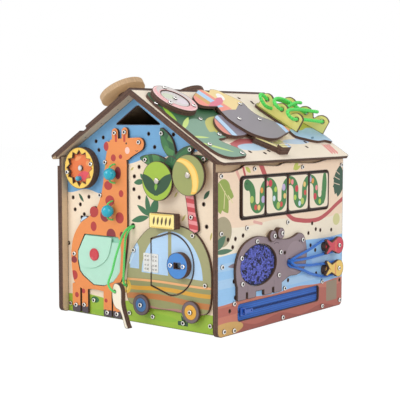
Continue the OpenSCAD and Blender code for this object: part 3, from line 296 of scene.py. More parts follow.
class Graph:
    """Adds nodes to a node tree and joins them up."""

    def __init__(self, tree):
        self.tree = tree
        tree.nodes.clear()

    def node(self, kind, *values, **settings):
        made = self.tree.nodes.new(kind if kind.startswith("NodeGroup") else "ShaderNode" + kind)
        for key, value in settings.items():
            setattr(made, key, value)
        for socket, value in zip(made.inputs, values):
            self.feed(socket, value)
        return made

    def feed(self, socket, value):
        if isinstance(value, bpy.types.NodeSocket):
            self.tree.links.new(value, socket)
        else:
            socket.default_value = value

    def fill(self, node, **values):
        """Feeds inputs by their names, with _ for a space."""
        for key, value in values.items():
            self.feed(node.inputs[key.replace("_", " ")], value)
        return node

    def math(self, operation, *values, clamp=False):
        return self.node("Math", *values, operation=operation, use_clamp=clamp).outputs[0]

    def vector(self, operation, *values):
        made = self.node("VectorMath", *values, operation=operation)
        return made.outputs["Value" if operation in ("DOT_PRODUCT", "LENGTH") else "Vector"]

    def scaled(self, vector, factor):
        return self.fill(self.node("VectorMath", vector, operation="SCALE"), Scale=factor).outputs[0]

    def turned(self, vector, turn):
        return self.fill(self.node("VectorRotate", rotation_type="Z_AXIS"), Vector=vector,
                         Angle=self.math("MULTIPLY", turn, -1)).outputs[0]

    def diagonal(self, across, up):
        squares = [self.math("MULTIPLY", side, side) for side in (across, up)]
        return self.math("SQRT", self.math("ADD", *squares))

    def noise(self, vector, scale, detail=2, roughness=0.5):
        return self.fill(self.node("TexNoise"), Vector=vector, Scale=scale, Detail=detail,
                         Roughness=roughness).outputs[0]

    def mix(self, share, low, high):
        made = self.node("Mix", data_type="RGBA", blend_type="MIX")
        for i, value in ((0, share), (6, low), (7, high)):
            self.feed(made.inputs[i], value)
        return made.outputs[2]

    def group(self, name, **values):
        return self.fill(self.node("Group", node_tree=bpy.data.node_groups[name]), **values).outputs

    def split(self, vector):
        return self.node("SeparateXYZ", vector).outputs

    def shaded(self, colour, shade):
        """The colour made lighter or darker by a factor."""
        return self.vector("MULTIPLY", colour, self.node("CombineXYZ", shade, shade, shade).outputs[0])

    def edge(self, distance, soft=0.35):
        """1 where the distance is below zero, 0 above, with a soft printed edge."""
        return self.math("MULTIPLY_ADD", distance, -1 / soft, 0.5, clamp=True)

    def point(self, kind="Object"):
        return self.node("TexCoord").outputs[kind]

    def paint(self, colour, shade, **values):
        self.fill(self.shader, Base_Color=self.shaded(tint(*colour)[:3], shade), **values)

    def bump(self, height, strength, distance):
        made = self.fill(self.node("Bump"), Strength=strength, Distance=distance, Height=height)
        self.fill(self.shader, Normal=made.outputs[0])


ZERO = (0, 0, 0)
OUTPUT_KINDS = {"Colour": "NodeSocketColor", "Place": "NodeSocketVector"}


def new_group(name, outputs, **inputs):
    """An empty node group. An input is a vector where its first value is one."""
    tree = bpy.data.node_groups.new(name, "ShaderNodeTree")
    for label, value in inputs.items():
        kind = "NodeSocketVector" if isinstance(value, tuple) else "NodeSocketFloat"
        tree.interface.new_socket(label, in_out="INPUT", socket_type=kind).default_value = value
    for label in outputs:
        tree.interface.new_socket(label, in_out="OUTPUT",
                                  socket_type=OUTPUT_KINDS.get(label, "NodeSocketFloat"))
    graph = Graph(tree)
    return graph, graph.node("NodeGroupInput").outputs, graph.node("NodeGroupOutput").inputs


def make_face_group():
    """Where a point lies on a face in millimetres, and which side of the board it is on."""
    g, a, out = new_group("board face", ("Place", "Front", "Back", "Depth"), Point=ZERO, Normal=ZERO,
                          Across=ZERO, Up=ZERO, Out=ZERO, Zero=0)
    u, v, depth = [g.math("MULTIPLY", g.vector("DOT_PRODUCT", a["Point"], a[way]), TO_MM)
                   for way in ("Across", "Up", "Out")]
    side = g.vector("DOT_PRODUCT", a["Normal"], a["Out"])
    g.feed(out["Place"], g.node("CombineXYZ", u, g.math("ADD", v, a["Zero"])).outputs[0])
    g.feed(out["Front"], g.math("GREATER_THAN", side, 0.6))
    g.feed(out["Back"], g.math("LESS_THAN", side, -0.6))
    g.feed(out["Depth"], depth)


def run_between(g, a, start, end):
    """A run's length and direction, and the place as seen from its start."""
    along = g.vector("SUBTRACT", a[end], a[start])
    return g.vector("LENGTH", along), g.vector("NORMALIZE", along), g.vector("SUBTRACT", a["Place"], a[start])


def make_mark_groups():
    """Each group gives the mask of one printed mark."""
    g, a, out = new_group("oval mark", ("Mask",), Place=ZERO, Centre=ZERO, Radii=(1, 1, 1), Turn=0)
    here = g.turned(g.vector("SUBTRACT", a["Place"], a["Centre"]), a["Turn"])
    size = g.split(a["Radii"])
    ring = g.vector("LENGTH", g.vector("DIVIDE", here, a["Radii"]))
    gap = g.math("MULTIPLY", g.math("SUBTRACT", ring, 1), g.math("MINIMUM", size[0], size[1]))
    g.feed(out["Mask"], g.edge(gap))

    g, a, out = new_group("leaf mark", ("Mask",), Place=ZERO, Root=ZERO, Tip=ZERO, Width=1)
    reach, way, here = run_between(g, a, "Root", "Tip")
    reached = g.vector("DOT_PRODUCT", here, way)
    t = g.math("DIVIDE", reached, reach, clamp=True)
    aside = g.vector("LENGTH", g.vector("CROSS_PRODUCT", here, way))
    swell = g.math("POWER", g.math("SINE", g.math("MULTIPLY", t, math.pi)), 0.8)
    past = g.math("MAXIMUM", g.math("MULTIPLY", reached, -1), g.math("SUBTRACT", reached, reach))
    off = g.math("MULTIPLY_ADD", g.math("MULTIPLY", swell, a["Width"]), -0.5, aside)
    g.feed(out["Mask"], g.edge(g.math("MAXIMUM", off, past), 0.5))

    g, a, out = new_group("line mark", ("Mask",), Place=ZERO, From=ZERO, To=ZERO, Width=1)
    reach, way, here = run_between(g, a, "From", "To")
    t = g.math("MAXIMUM", 0, g.math("MINIMUM", g.vector("DOT_PRODUCT", here, way), reach))
    off = g.vector("LENGTH", g.vector("SUBTRACT", here, g.scaled(way, t)))
    g.feed(out["Mask"], g.edge(g.math("MULTIPLY_ADD", a["Width"], -0.5, off)))

    g, a, out = new_group("block mark", ("Mask",), Place=ZERO, Centre=ZERO, Half=(1, 1, 1), Round=0, Turn=0)
    here = g.turned(g.vector("SUBTRACT", a["Place"], a["Centre"]), a["Turn"])
    off = g.split(g.vector("SUBTRACT", g.vector("ABSOLUTE", here), a["Half"]))
    corner = g.diagonal(*[g.math("MAXIMUM", g.math("ADD", off[i], a["Round"]), 0) for i in (0, 1)])
    inside = g.math("MINIMUM", g.math("MAXIMUM", off[0], off[1]), 0)
    g.feed(out["Mask"], g.edge(g.math("ADD", inside, g.math("SUBTRACT", corner, a["Round"]))))

    g, a, out = new_group("shore mark", ("Mask",), Place=ZERO, Height=0, Slope=0, Swing=0, Length=100, Shift=0)
    p = g.split(a["Place"])
    turns = g.math("DIVIDE", g.math("SUBTRACT", p[0], a["Shift"]), a["Length"])
    wave = g.math("SINE", g.math("MULTIPLY", turns, 2 * math.pi))
    shore = g.math("ADD", g.math("MULTIPLY_ADD", p[0], a["Slope"], a["Height"]),
                   g.math("MULTIPLY", wave, a["Swing"]))
    g.feed(out["Mask"], g.edge(g.math("SUBTRACT", p[1], shore)))

    g, a, out = new_group("winding mark", ("Mask",), Place=ZERO, Bottom=0, Top=20, Length=53, Shift=0, Bend=11,
                          Width=12)
    p = g.split(a["Place"])
    half = g.math("MULTIPLY", a["Length"], 0.5)
    folded = g.math("PINGPONG", g.math("SUBTRACT", p[0], a["Shift"]), half)
    under = g.math("MAXIMUM", g.math("SUBTRACT", a["Bottom"], p[1]), 0)
    over = g.math("MAXIMUM", g.math("SUBTRACT", p[1], a["Top"]), 0)
    low = g.diagonal(folded, under)
    high = g.diagonal(g.math("SUBTRACT", half, folded), over)
    low_off = g.math("ABSOLUTE", g.math("SUBTRACT", low, a["Bend"]))
    high_off = g.math("ABSOLUTE", g.math("SUBTRACT", high, g.math("SUBTRACT", half, a["Bend"])))
    lower = g.math("GREATER_THAN", g.math("MULTIPLY", g.math("ADD", a["Bottom"], a["Top"]), 0.5), p[1])
    off = g.math("ADD", g.math("MULTIPLY", low_off, lower),
                 g.math("MULTIPLY", high_off, g.math("SUBTRACT", 1, lower)))
    g.feed(out["Mask"], g.edge(g.math("MULTIPLY_ADD", a["Width"], -0.5, off)))


def make_surface_groups():
    g, a, out = new_group("wood grain", ("Shade", "Height"), Place=ZERO, Strength=1)
    lines = g.noise(g.vector("MULTIPLY", a["Place"], (0.012, 0.22, 0.22)), 3.2, 5, 0.62)
    pores = g.noise(g.vector("MULTIPLY", a["Place"], (0.06, 1.4, 1.4)), 2, 3)
    together = g.math("MULTIPLY_ADD", pores, 0.4, g.math("MULTIPLY", lines, 0.6))
    centred = g.math("MULTIPLY", g.math("SUBTRACT", together, 0.5), a["Strength"])
    g.feed(out["Shade"], g.math("ADD", centred, 1))
    g.feed(out["Height"], together)

    g, a, out = new_group("brush speckle", ("Shade",), Place=ZERO, Size=6, Strength=0.1)
    blot = g.noise(g.scaled(a["Place"], g.math("DIVIDE", 1, a["Size"])), 1, 4, 0.7)
    g.feed(out["Shade"], g.math("MULTIPLY_ADD", g.math("SUBTRACT", blot, 0.5), a["Strength"], 1))

    g, a, out = new_group("burnt edge", ("Colour", "Height"), Place=ZERO, Depth=0)
    layers = g.math("SINE", g.math("MULTIPLY", a["Depth"], math.pi / 2))
    share = g.math("MULTIPLY_ADD", layers, 0.16, g.noise(a["Place"], 0.35, 4), clamp=True)
    g.feed(out["Colour"], g.mix(share, tint(52, 36, 32), tint(112, 82, 66)))
    g.feed(out["Height"], share)

    g, a, out = new_group("braid", ("Shade", "Height"), Map=ZERO, Pitch=3, Strands=3)
    m = g.split(a["Map"])
    along = g.math("DIVIDE", m[0], a["Pitch"])
    around_it = g.math("MULTIPLY", m[1], a["Strands"])
    left, right = [g.math("SINE", g.math("MULTIPLY", g.math(way, along, around_it), 2 * math.pi))
                   for way in ("ADD", "SUBTRACT")]
    strands = g.math("MULTIPLY_ADD", g.math("MAXIMUM", left, right), 0.5, 0.5)
    # The colour is darker between the strands: painted shade
    g.feed(out["Shade"], g.math("MULTIPLY_ADD", strands, 0.4, 0.68))
    g.feed(out["Height"], strands)

    g, a, out = new_group("felt nap", ("Shade", "Height"), Point=ZERO, Strength=0.1)
    fibres = g.noise(a["Point"], 900, 6, 0.75)
    mixed = g.math("MULTIPLY_ADD", g.noise(a["Point"], 60), 0.4, g.math("MULTIPLY", fibres, 0.6))
    g.feed(out["Shade"], g.math("MULTIPLY_ADD", g.math("SUBTRACT", mixed, 0.5), a["Strength"], 1))
    g.feed(out["Height"], fibres)


make_face_group()
make_mark_groups()
make_surface_groups()


# Printed marks: each takes the painter and gives a mask ---------------------------------

def mark(kind, **values):
    return lambda p: p.group(kind + " mark", Place=p.place, **values)[0]


def oval(x, y, rx, ry=None, turn=0):
    return mark("oval", Centre=(x, y, 0), Radii=(rx, ry or rx, 1), Turn=math.radians(turn))


def leaf(x0, y0, x1, y1, width):
    return mark("leaf", Root=(x0, y0, 0), Tip=(x1, y1, 0), Width=width)


def line(x0, y0, x1, y1, width):
    return mark("line", From=(x0, y0, 0), To=(x1, y1, 0), Width=width)


def block(x, y, half_x, half_y, round_by=0, turn=0):
    return mark("block", Centre=(x, y, 0), Half=(half_x, half_y, 1), Round=round_by, Turn=math.radians(turn))


def below(height, slope=0, swing=0, length=100, shift=0):
    return mark("shore", Height=height, Slope=slope, Swing=swing, Length=length, Shift=shift)


def without(away):
    return lambda p: p.math("SUBTRACT", 1, away(p))


def above(*shore):
    return without(below(*shore))


def winding(bottom, top, length, shift, bend, width):
    return mark("winding", Bottom=bottom, Top=top, Length=length, Shift=shift, Bend=bend, Width=width)


def joined(operation, *marks):
    def mask(p):
        found = marks[0](p)
        for other in marks[1:]:
            found = p.math(operation, found, other(p))
        return found
    return mask


def both(*marks):
    return joined("MULTIPLY", *marks)


def either(*marks):
    return joined("MAXIMUM", *marks)


def several(kind, *facts):
    return either(*[kind(*row) for row in facts])


def cut(shape, away):
    return both(shape, without(away))


def strokes(points, width):
    return either(*[line(*a, *b, width) for a, b in zip(points, points[1:])])


def bough(points, width):
    """A smooth printed band through the points."""
    return strokes([tuple(p) for p in spline([Vector(p) for p in points], 3)], width)


# Finishes -----------------------------------------------------------------------------

RAW = (216, 188, 152)
# Colour, width and strength of the darkened rim on a print: partly laser burn, partly painted shade
SOOT_AND_SHADE = tint(74, 54, 46)
SCORCH_AND_SHADE_WIDTH = 1.4 * MM
SCORCH_AND_SHADE_STRENGTH = 2.6
BARE_ROUGHNESS = 0.78


def new_material(name):
    material = bpy.data.materials.new(name)
    material.use_nodes = True
    g = Graph(material.node_tree)
    g.shader = g.node("BsdfPrincipled")
    g.node("OutputMaterial", g.shader.outputs[0])
    return material, g


def board(name, face, ground, marks=(), back=RAW, two_sided=False, grain=0.16, gloss=0.42, speckle=0.1,
          burn=1.0, scorched_and_shaded=True):
    """Plywood with a print on its face, raw veneer behind and laser-burnt edges. Near its outline and holes the
    print is darkened: partly laser burn, partly painted shade.
    """
    material, g = new_material(name)
    across, up, out, zero = FACES[face]
    source = g.node("TexCoord").outputs
    side = g.group("board face", Point=source["Object"], Normal=source["Normal"], Across=across, Up=up, Out=out,
                   Zero=zero)
    g.place = side["Place"]
    colour = g.node("RGB").outputs[0]
    colour.default_value = tint(*ground)
    for shape, paint in marks:
        colour = g.mix(shape(g), colour, tint(*paint))
    wood = g.group("wood grain", Place=g.place, Strength=grain)
    raw = g.group("wood grain", Place=g.place, Strength=grain * 2.4)
    brush = g.group("brush speckle", Place=g.place, Size=5, Strength=speckle)
    printed = g.shaded(colour, g.math("MULTIPLY", wood["Shade"], brush[0]))
    bare = g.shaded(tint(*back)[:3], raw["Shade"])
    scaled = g.vector("MULTIPLY", source["Object"], (TO_MM, TO_MM, TO_MM))
    rim = g.mix(burn, bare, g.group("burnt edge", Place=scaled, Depth=side["Depth"])["Colour"])
    front = g.math("MAXIMUM", side["Front"], side["Back"]) if two_sided else side["Front"]
    # The print is darkened close to the piece's outline and holes: partly laser burn, partly painted shade
    if scorched_and_shaded:
        corner = g.node("AmbientOcclusion", samples=6, inside=True, only_local=True)
        g.fill(corner, Distance=SCORCH_AND_SHADE_WIDTH)
        nearness = g.math("SUBTRACT", 1, corner.outputs["AO"])
        printed = g.mix(g.math("MULTIPLY", nearness, SCORCH_AND_SHADE_STRENGTH * burn, clamp=True), printed, SOOT_AND_SHADE)
    rough = g.math("MULTIPLY_ADD", front, gloss - BARE_ROUGHNESS, BARE_ROUGHNESS)
    g.fill(g.shader, Base_Color=g.mix(front, g.mix(side["Back"], rim, bare), printed),
           Roughness=g.math("MULTIPLY_ADD", wood["Height"], 0.12, rough))
    g.bump(wood["Height"], 0.12, 0.0004)
    return material


def dress(material, *nodes):
    for name in nodes:
        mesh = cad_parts[name].data
        mesh.materials.clear()
        mesh.materials.append(material)
        for polygon in mesh.polygons:
            polygon.material_index = 0


# House prints ---------------------------------------------------------------------------

SKY = (112, 168, 212)
CREAM = (246, 226, 200)
GRASS = (158, 192, 60)
PLANT = (56, 112, 74)
DARK_LEAF = (44, 90, 60)
SPECK = (196, 184, 104)

front_print = [
    # The dark brown oval under the felt pouch is painted shadow, seen in the gap round the felt
    (oval(-76, 82, 50, 44), (58, 44, 38)),
    (both(above(181, 0, 3, 70, -120), block(-100, 250, 62, 100)), SKY),
    (both(above(227.5, 0.16, 1.5, 60, 0), block(70, 280, 110, 90)), SKY),
    (below(28, 0, 1.5, 90, -30), GRASS),
    (several(leaf, (20, 151, -13, 143, 9), (22, 152, -2, 166, 8), (21, 150, 15, 181, 9),
             (23, 148, 36, 178, 14)), PLANT),
    (several(leaf, (12, 200, -8, 197, 8), (12, 202, 4, 210, 6)), PLANT),
    (several(leaf, (-118, 177, -108, 165, 5), (117, 180, 127, 192, 6)), DARK_LEAF),
    (several(leaf, (79, 148, 86, 158, 3), (66, 180, 72, 188, 3), (-8, 219, -14, 214, 3),
             (128, 126, 131, 137, 3), (-60, 170, -66, 164, 3)), SPECK),
    (several(oval, (-104, 22, 8, 4), (-86, 23, 8, 4.5)), (50, 110, 60)),
    (either(block(81, 9, 9, 3, 1.5), leaf(84, 8, 78, 20, 4), leaf(80, 8, 88, 18, 4)), (46, 78, 52)),
    (several(oval, (40, 12, 30, 5), (-60, 6, 34, 4)), (146, 188, 56)),
]

wall_print = [
    (below(143, -0.02, 3, 190, -60), (240, 228, 206)),
    (below(108.5, 0.01, 1.2, 150), (150, 196, 236)),
    (several(block, (-138, 92, 24, 5, 4), (-136, 70, 26, 6, 4), (20, 54, 60, 5, 4), (110, 78, 40, 5, 4)),
     (168, 204, 236)),
    (leaf(-134, 92, -106, 92, 6), (134, 120, 128)),
    (below(43, -0.004, 1.5, 120), (196, 118, 98)),
    (either(below(24, 0.1, 5, 140, 30), block(-140, 33, 26, 6, 5)), (180, 100, 86)),
    (below(8, -0.03, 4, 110, -40), (158, 82, 70)),
    (oval(-138, 9, 38, 9), (206, 164, 96)),
    (block(126, 26, 15, 15, 3), (152, 134, 112)),
    (oval(-146, 139, 20, 20), (168, 158, 128)),
    (several(leaf, (-163, 116, -139, 133, 13), (-165, 113, -124, 113, 7)), (74, 112, 86)),
    (either(oval(-144, 193, 15, 15), leaf(-160, 196, -122, 184, 22), leaf(-158, 200, -134, 163, 22),
            leaf(-156, 190, -150, 163, 16)), (146, 164, 78)),
    (several(line, (-152, 203, -132, 180, 1.2), (-141, 192, -143, 170, 1.6), (-134, 186, -124, 176, 1.6)),
     (224, 214, 160)),
    (several(leaf, (149, 216, 133, 172, 22), (152, 212, 141, 168, 26), (152, 200, 128, 196, 12),
             (152, 190, 127, 184, 12)), (42, 78, 58)),
    (several(line, (128, 200, 146, 194, 1.3), (128, 190, 146, 186, 1.3), (134, 208, 146, 202, 1.3)),
     (214, 196, 172)),
    (several(line, (-66, 232, -50, 208, 9), (-104, 228, -94, 204, 4)), (186, 82, 82)),
    (line(-116, 218, -107, 204, 5), (222, 168, 152)),
    (bough([(3, 153), (18, 144), (38, 140), (62, 137.5), (88, 138), (112, 145), (134, 155), (158, 165)], 6.4),
     (184, 80, 82)),
    (line(-76, 147, -58, 143, 4), (224, 170, 158)),
    (several(leaf, (19, 214, 32, 224, 8), (22, 213, 38, 219, 5), (-84, 214, -96, 222, 6)), (188, 194, 92)),
    (oval(138, 134, 10, 9), (210, 206, 148)),
]

roof_print = [
    (several(leaf, (-104, 36, -26, 52, 20), (-96, 44, -36, 42, 14)), (196, 106, 108)),
    (several(oval, (-54, 34, 34, 9), (-20, 44, 24, 6)), (186, 214, 234)),
    (several(oval, (66, 44, 34, 7), (92, 50, 20, 6)), (188, 208, 228)),
    (several(oval, (14, 42, 8, 4), (26, 46, 6, 4)), (206, 208, 140)),
    (either(*[line(118 + 2.4 * i, 8 + 2 * (i % 3), 124 + 2.4 * i, 34 - 3 * (i % 2), 2.2) for i in range(9)]),
     (226, 140, 132)),
]

leaf_print = [
    # The two darker greens towards the top are painted shadow near the raised ring and toucan
    (above(108, 0.12, 8, 90, -140), (52, 98, 64)),
    (both(above(120, -0.3, 4, 60, -100), above(92)), (34, 82, 48)),
    (several(leaf, (-166, 74, -122, 106, 7), (-168, 58, -132, 54, 5), (-168, 46, -118, 18, 6)),
     (200, 222, 128)),
    (several(leaf, (-156, 96, -148, 134, 9), (-160, 112, -144, 128, 5)), (150, 196, 60)),
    (several(leaf, (-116, 68, -60, 108, 22), (-104, 66, -76, 100, 14)), (196, 192, 104)),
    (leaf(-112, 46, -92, 50, 3), (40, 60, 50)),
]

giraffe_print = [
    (several(oval, (-43.5, 231, 4.8, 5), (-29.7, 233, 3.4, 3.2), (-54, 191.5, 8, 6.5), (-29, 181, 4.5, 5),
             (-51, 170, 9, 7.5), (-32, 146.5, 8, 8), (-84, 131, 6, 7), (-125, 56, 7, 7), (-120, 27, 4, 4),
             (-106, 34, 3.6, 3.6), (-60, 25, 3, 3), (-58.5, 247, 5.6, 7), (-84, 153, 10, 9)), (182, 56, 54)),
    (several(oval, (-35, 210, 6, 9), (-61, 148, 9, 9), (-49, 121, 9, 9), (-125, 79, 6, 5), (-28, 122, 4, 5)),
     (138, 42, 50)),
    (oval(-65, 222, 6, 11), (160, 190, 80)),
    (several(block, (-38.2, 258.6, 2, 5, 1.8), (-22, 258.8, 2, 5, 1.8)), (190, 70, 55)),
    (oval(-16.6, 242, 4.4, 4.8), (250, 205, 190)),
    (either(oval(-18.4, 251.8, 1.5), strokes([(-1.5, 242.2), (1.4, 241.2), (4, 242.4)], 0.8)), (60, 30, 26)),
    (below(11.5, 0, 0.6, 9), (78, 66, 74)),
]

van_print = [
    (below(64.6, 0.008, 0.8, 150), (150, 150, 100)),
    (both(below(63.6, 0.01, 0.7, 150), above(60.4, 0.01, 0.7, 150)), (240, 178, 122)),
    (both(below(54.4, 0.012, 1.4, 130, 20), above(48.6, 0.012, 1.4, 130, 20)), (218, 162, 56)),
    (both(below(43.4, 0.004, 2, 160), above(35.4, 0.004, 2, 160)), (190, 122, 66)),
    (below(27.6, 0, 1.2, 60), (176, 130, 118)),
    (cut(both(oval(64, 71, 54.5, 63), above(73.5, -0.012)), block(61, 110, 3, 40)), (184, 216, 246)),
    (both(oval(-8, 92, 15.5, 27), above(77.6), block(-4, 96, 8.6, 30)), (178, 208, 240)),
    (line(-13, 84, 1, 108, 2.2), (204, 226, 248)),
    (oval(-21, 50.5, 10.4), (226, 184, 70)),
    (oval(-21, 50.5, 6), (238, 208, 110)),
]

# The snake winds through the four tiles: upright runs joined by tight bends below and wide bends above
SNAKE_LOW, SNAKE_HIGH, SNAKE_PITCH, SNAKE_START, SNAKE_BEND = 175.2, 183.4, 52.65, -68, 11
SNAKE_WIDTH, DOT_COUNT, DOT_SPACING, DOT_ASIDE = 12.6, 26, 12.6, 2.2


def snake_point(along):
    """A point on the snake's middle line, counted from the middle of the first bend above."""
    wide = SNAKE_PITCH / 2 - SNAKE_BEND
    run = SNAKE_HIGH - SNAKE_LOW
    turns, left = divmod(along + wide * math.pi / 2, 2 * run + math.pi * (wide + SNAKE_BEND))
    x = SNAKE_START + turns * SNAKE_PITCH
    if left < wide * math.pi:
        t = left / wide
        return x - SNAKE_PITCH / 2 - wide * math.cos(t), SNAKE_HIGH + wide * math.sin(t)
    left -= wide * math.pi
    if left < run:
        return x - SNAKE_BEND, SNAKE_HIGH - left
    left -= run
    if left < SNAKE_BEND * math.pi:
        t = left / SNAKE_BEND
        return x - SNAKE_BEND * math.cos(t), SNAKE_LOW - SNAKE_BEND * math.sin(t)
    return x + SNAKE_BEND, SNAKE_LOW + left - SNAKE_BEND * math.pi


SNAKE_GREEN = (62, 124, 66)
DOT_COLOURS = [(176, 196, 96), (206, 76, 70), (232, 196, 120), (186, 170, 208), (228, 154, 70), (236, 140, 144),
               (200, 58, 70), (180, 206, 84), (204, 222, 232)]
snake_dots = [(*snake_point(30 + DOT_SPACING * i), 3.4 + 0.9 * (i % 3 == 0), DOT_COLOURS[i % len(DOT_COLOURS)],
               DOT_ASIDE * (2 * (i % 2) - 1)) for i in range(DOT_COUNT)]
tile_print = [
    (both(winding(SNAKE_LOW, SNAKE_HIGH, SNAKE_PITCH, SNAKE_START, SNAKE_BEND, SNAKE_WIDTH),
          several(block, (1, 182, 94, 40), (100, 166, 12, 14))), SNAKE_GREEN),
    (leaf(101, 160, 104, 214, SNAKE_WIDTH), SNAKE_GREEN),
    (oval(-91, 197.6, 8.4, 7.6, -30), (54, 112, 62)),
    (oval(-93, 199.4, 1.1), (24, 34, 28)),
] + [(oval(x + aside, z, r, r * 1.15), colour) for x, z, r, colour, aside in snake_dots]


def face_of(name):
    """Middle and half size of the outer face of a piece on the right wall."""
    points = [v.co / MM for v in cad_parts[name].data.vertices]
    outer = max(p.x for p in points) - 0.1
    y, z = [p.y for p in points if p.x > outer], [p.z for p in points if p.x > outer]
    return (min(y) + max(y)) / 2, (min(z) + max(z)) / 2, (max(y) - min(y)) / 2, (max(z) - min(z)) / 2


TILES = [f"snake_tile_{i}" for i in (1, 2, 3, 4)]
# Each tile's face is dark brown near its edges: partly burnt edge, partly painted shade of the gaps between the
# tiles
TILE_EDGE, TILE_CORNER = (1.2, 1.8), 7
tile_faces = either(*[block(y, z, half_y - TILE_EDGE[0], half_z - TILE_EDGE[1], TILE_CORNER)
                      for y, z, half_y, half_z in map(face_of, TILES)])
tile_print.append((without(tile_faces), (46, 32, 28)))

toucan_print = [
    (both(above(121, 0.45, 2, 60), block(-6, 158, 34, 44)), (240, 214, 150)),
    (oval(-8, 150, 12, 7, 50), (248, 244, 240)),
    (both(block(-68, 146, 42, 40, 0, 12), below(220)), (240, 146, 128)),
    (block(-58, 146, 6.4, 30, 0, 10), (214, 166, 98)),
    (block(-44, 150, 7.6, 30, 0, 10), (176, 212, 240)),
    (several(leaf, (-66, 122, -12, 140, 11), (-36, 132, -8, 148, 11)), (222, 118, 140)),
    (block(48, 62, 6, 30, 0, -16), (178, 208, 240)),
    (block(58, 66, 5, 30, 0, -16), (226, 154, 110)),
]
wing_print = [
    (block(-90, 74, 7, 34, 0, -14), (222, 138, 122)),
    (block(-74.5, 76, 5, 36, 0, -14), (184, 214, 240)),
]

base_print = [
    (below(66, 0.05, 3, 60), (164, 196, 222)),
    (several(leaf, (78, 108, 104, 140, 16), (84, 90, 100, 112, 10)), (198, 194, 86)),
    (leaf(104, 44, 118, 50, 4), (90, 130, 160)),
]


def dress_house():
    bare = {"grain": 0.4, "two_sided": True}
    dress(board("raw_veneer", "front", (214, 186, 152), gloss=0.6, **bare), "back_panel")
    dress(board("raw_veneer_side", "right", (214, 186, 152), gloss=0.6, **bare), "left_wall", "right_wall",
          "tile_track_back")
    nails = [(either(*[oval(150, up, 1.1) for up in (70, 108, 146, 169)]), (70, 52, 44))]
    dress(board("left_roof_inner_board", "left_roof", (206, 182, 152), nails, **bare), "roof_left_slab")
    dress(board("right_roof_inner_board", "right_roof", (206, 182, 152), **bare), "roof_right_slab")
    dress(board("floor_veneer", "floor", (206, 178, 144), **bare), "floor_panel")
    dress(board("front_scene", "front", CREAM, front_print), "front_panel")
    dress(board("right_scene", "right", (240, 214, 188), wall_print), "right_wall_cover")
    left_print = [(below(120, 0.02, 4, 160), (240, 228, 206)), (below(46, 0, 4, 120), GRASS),
                  (several(leaf, (-120, 40, -136, 110, 18), (-118, 40, -100, 120, 20), (-116, 40, -70, 96, 18)),
                   PLANT),
                  (several(oval, (60, 150, 24, 18), (84, 142, 20, 13)), (190, 214, 236))]
    dress(board("left_scene", "left", (240, 214, 188), left_print), "left_wall_cover")
    dress(board("right_roof_scene", "right_roof", (240, 226, 206), roof_print), "roof_right_cover")
    left_roof_print = [(several(leaf, (-60, 20, -20, 70, 18), (-20, 20, 10, 66, 16), (60, 98, 110, 140, 20)),
                        (126, 162, 140))]
    dress(board("left_roof_scene", "left_roof", (240, 226, 206), left_roof_print), "roof_left_cover")


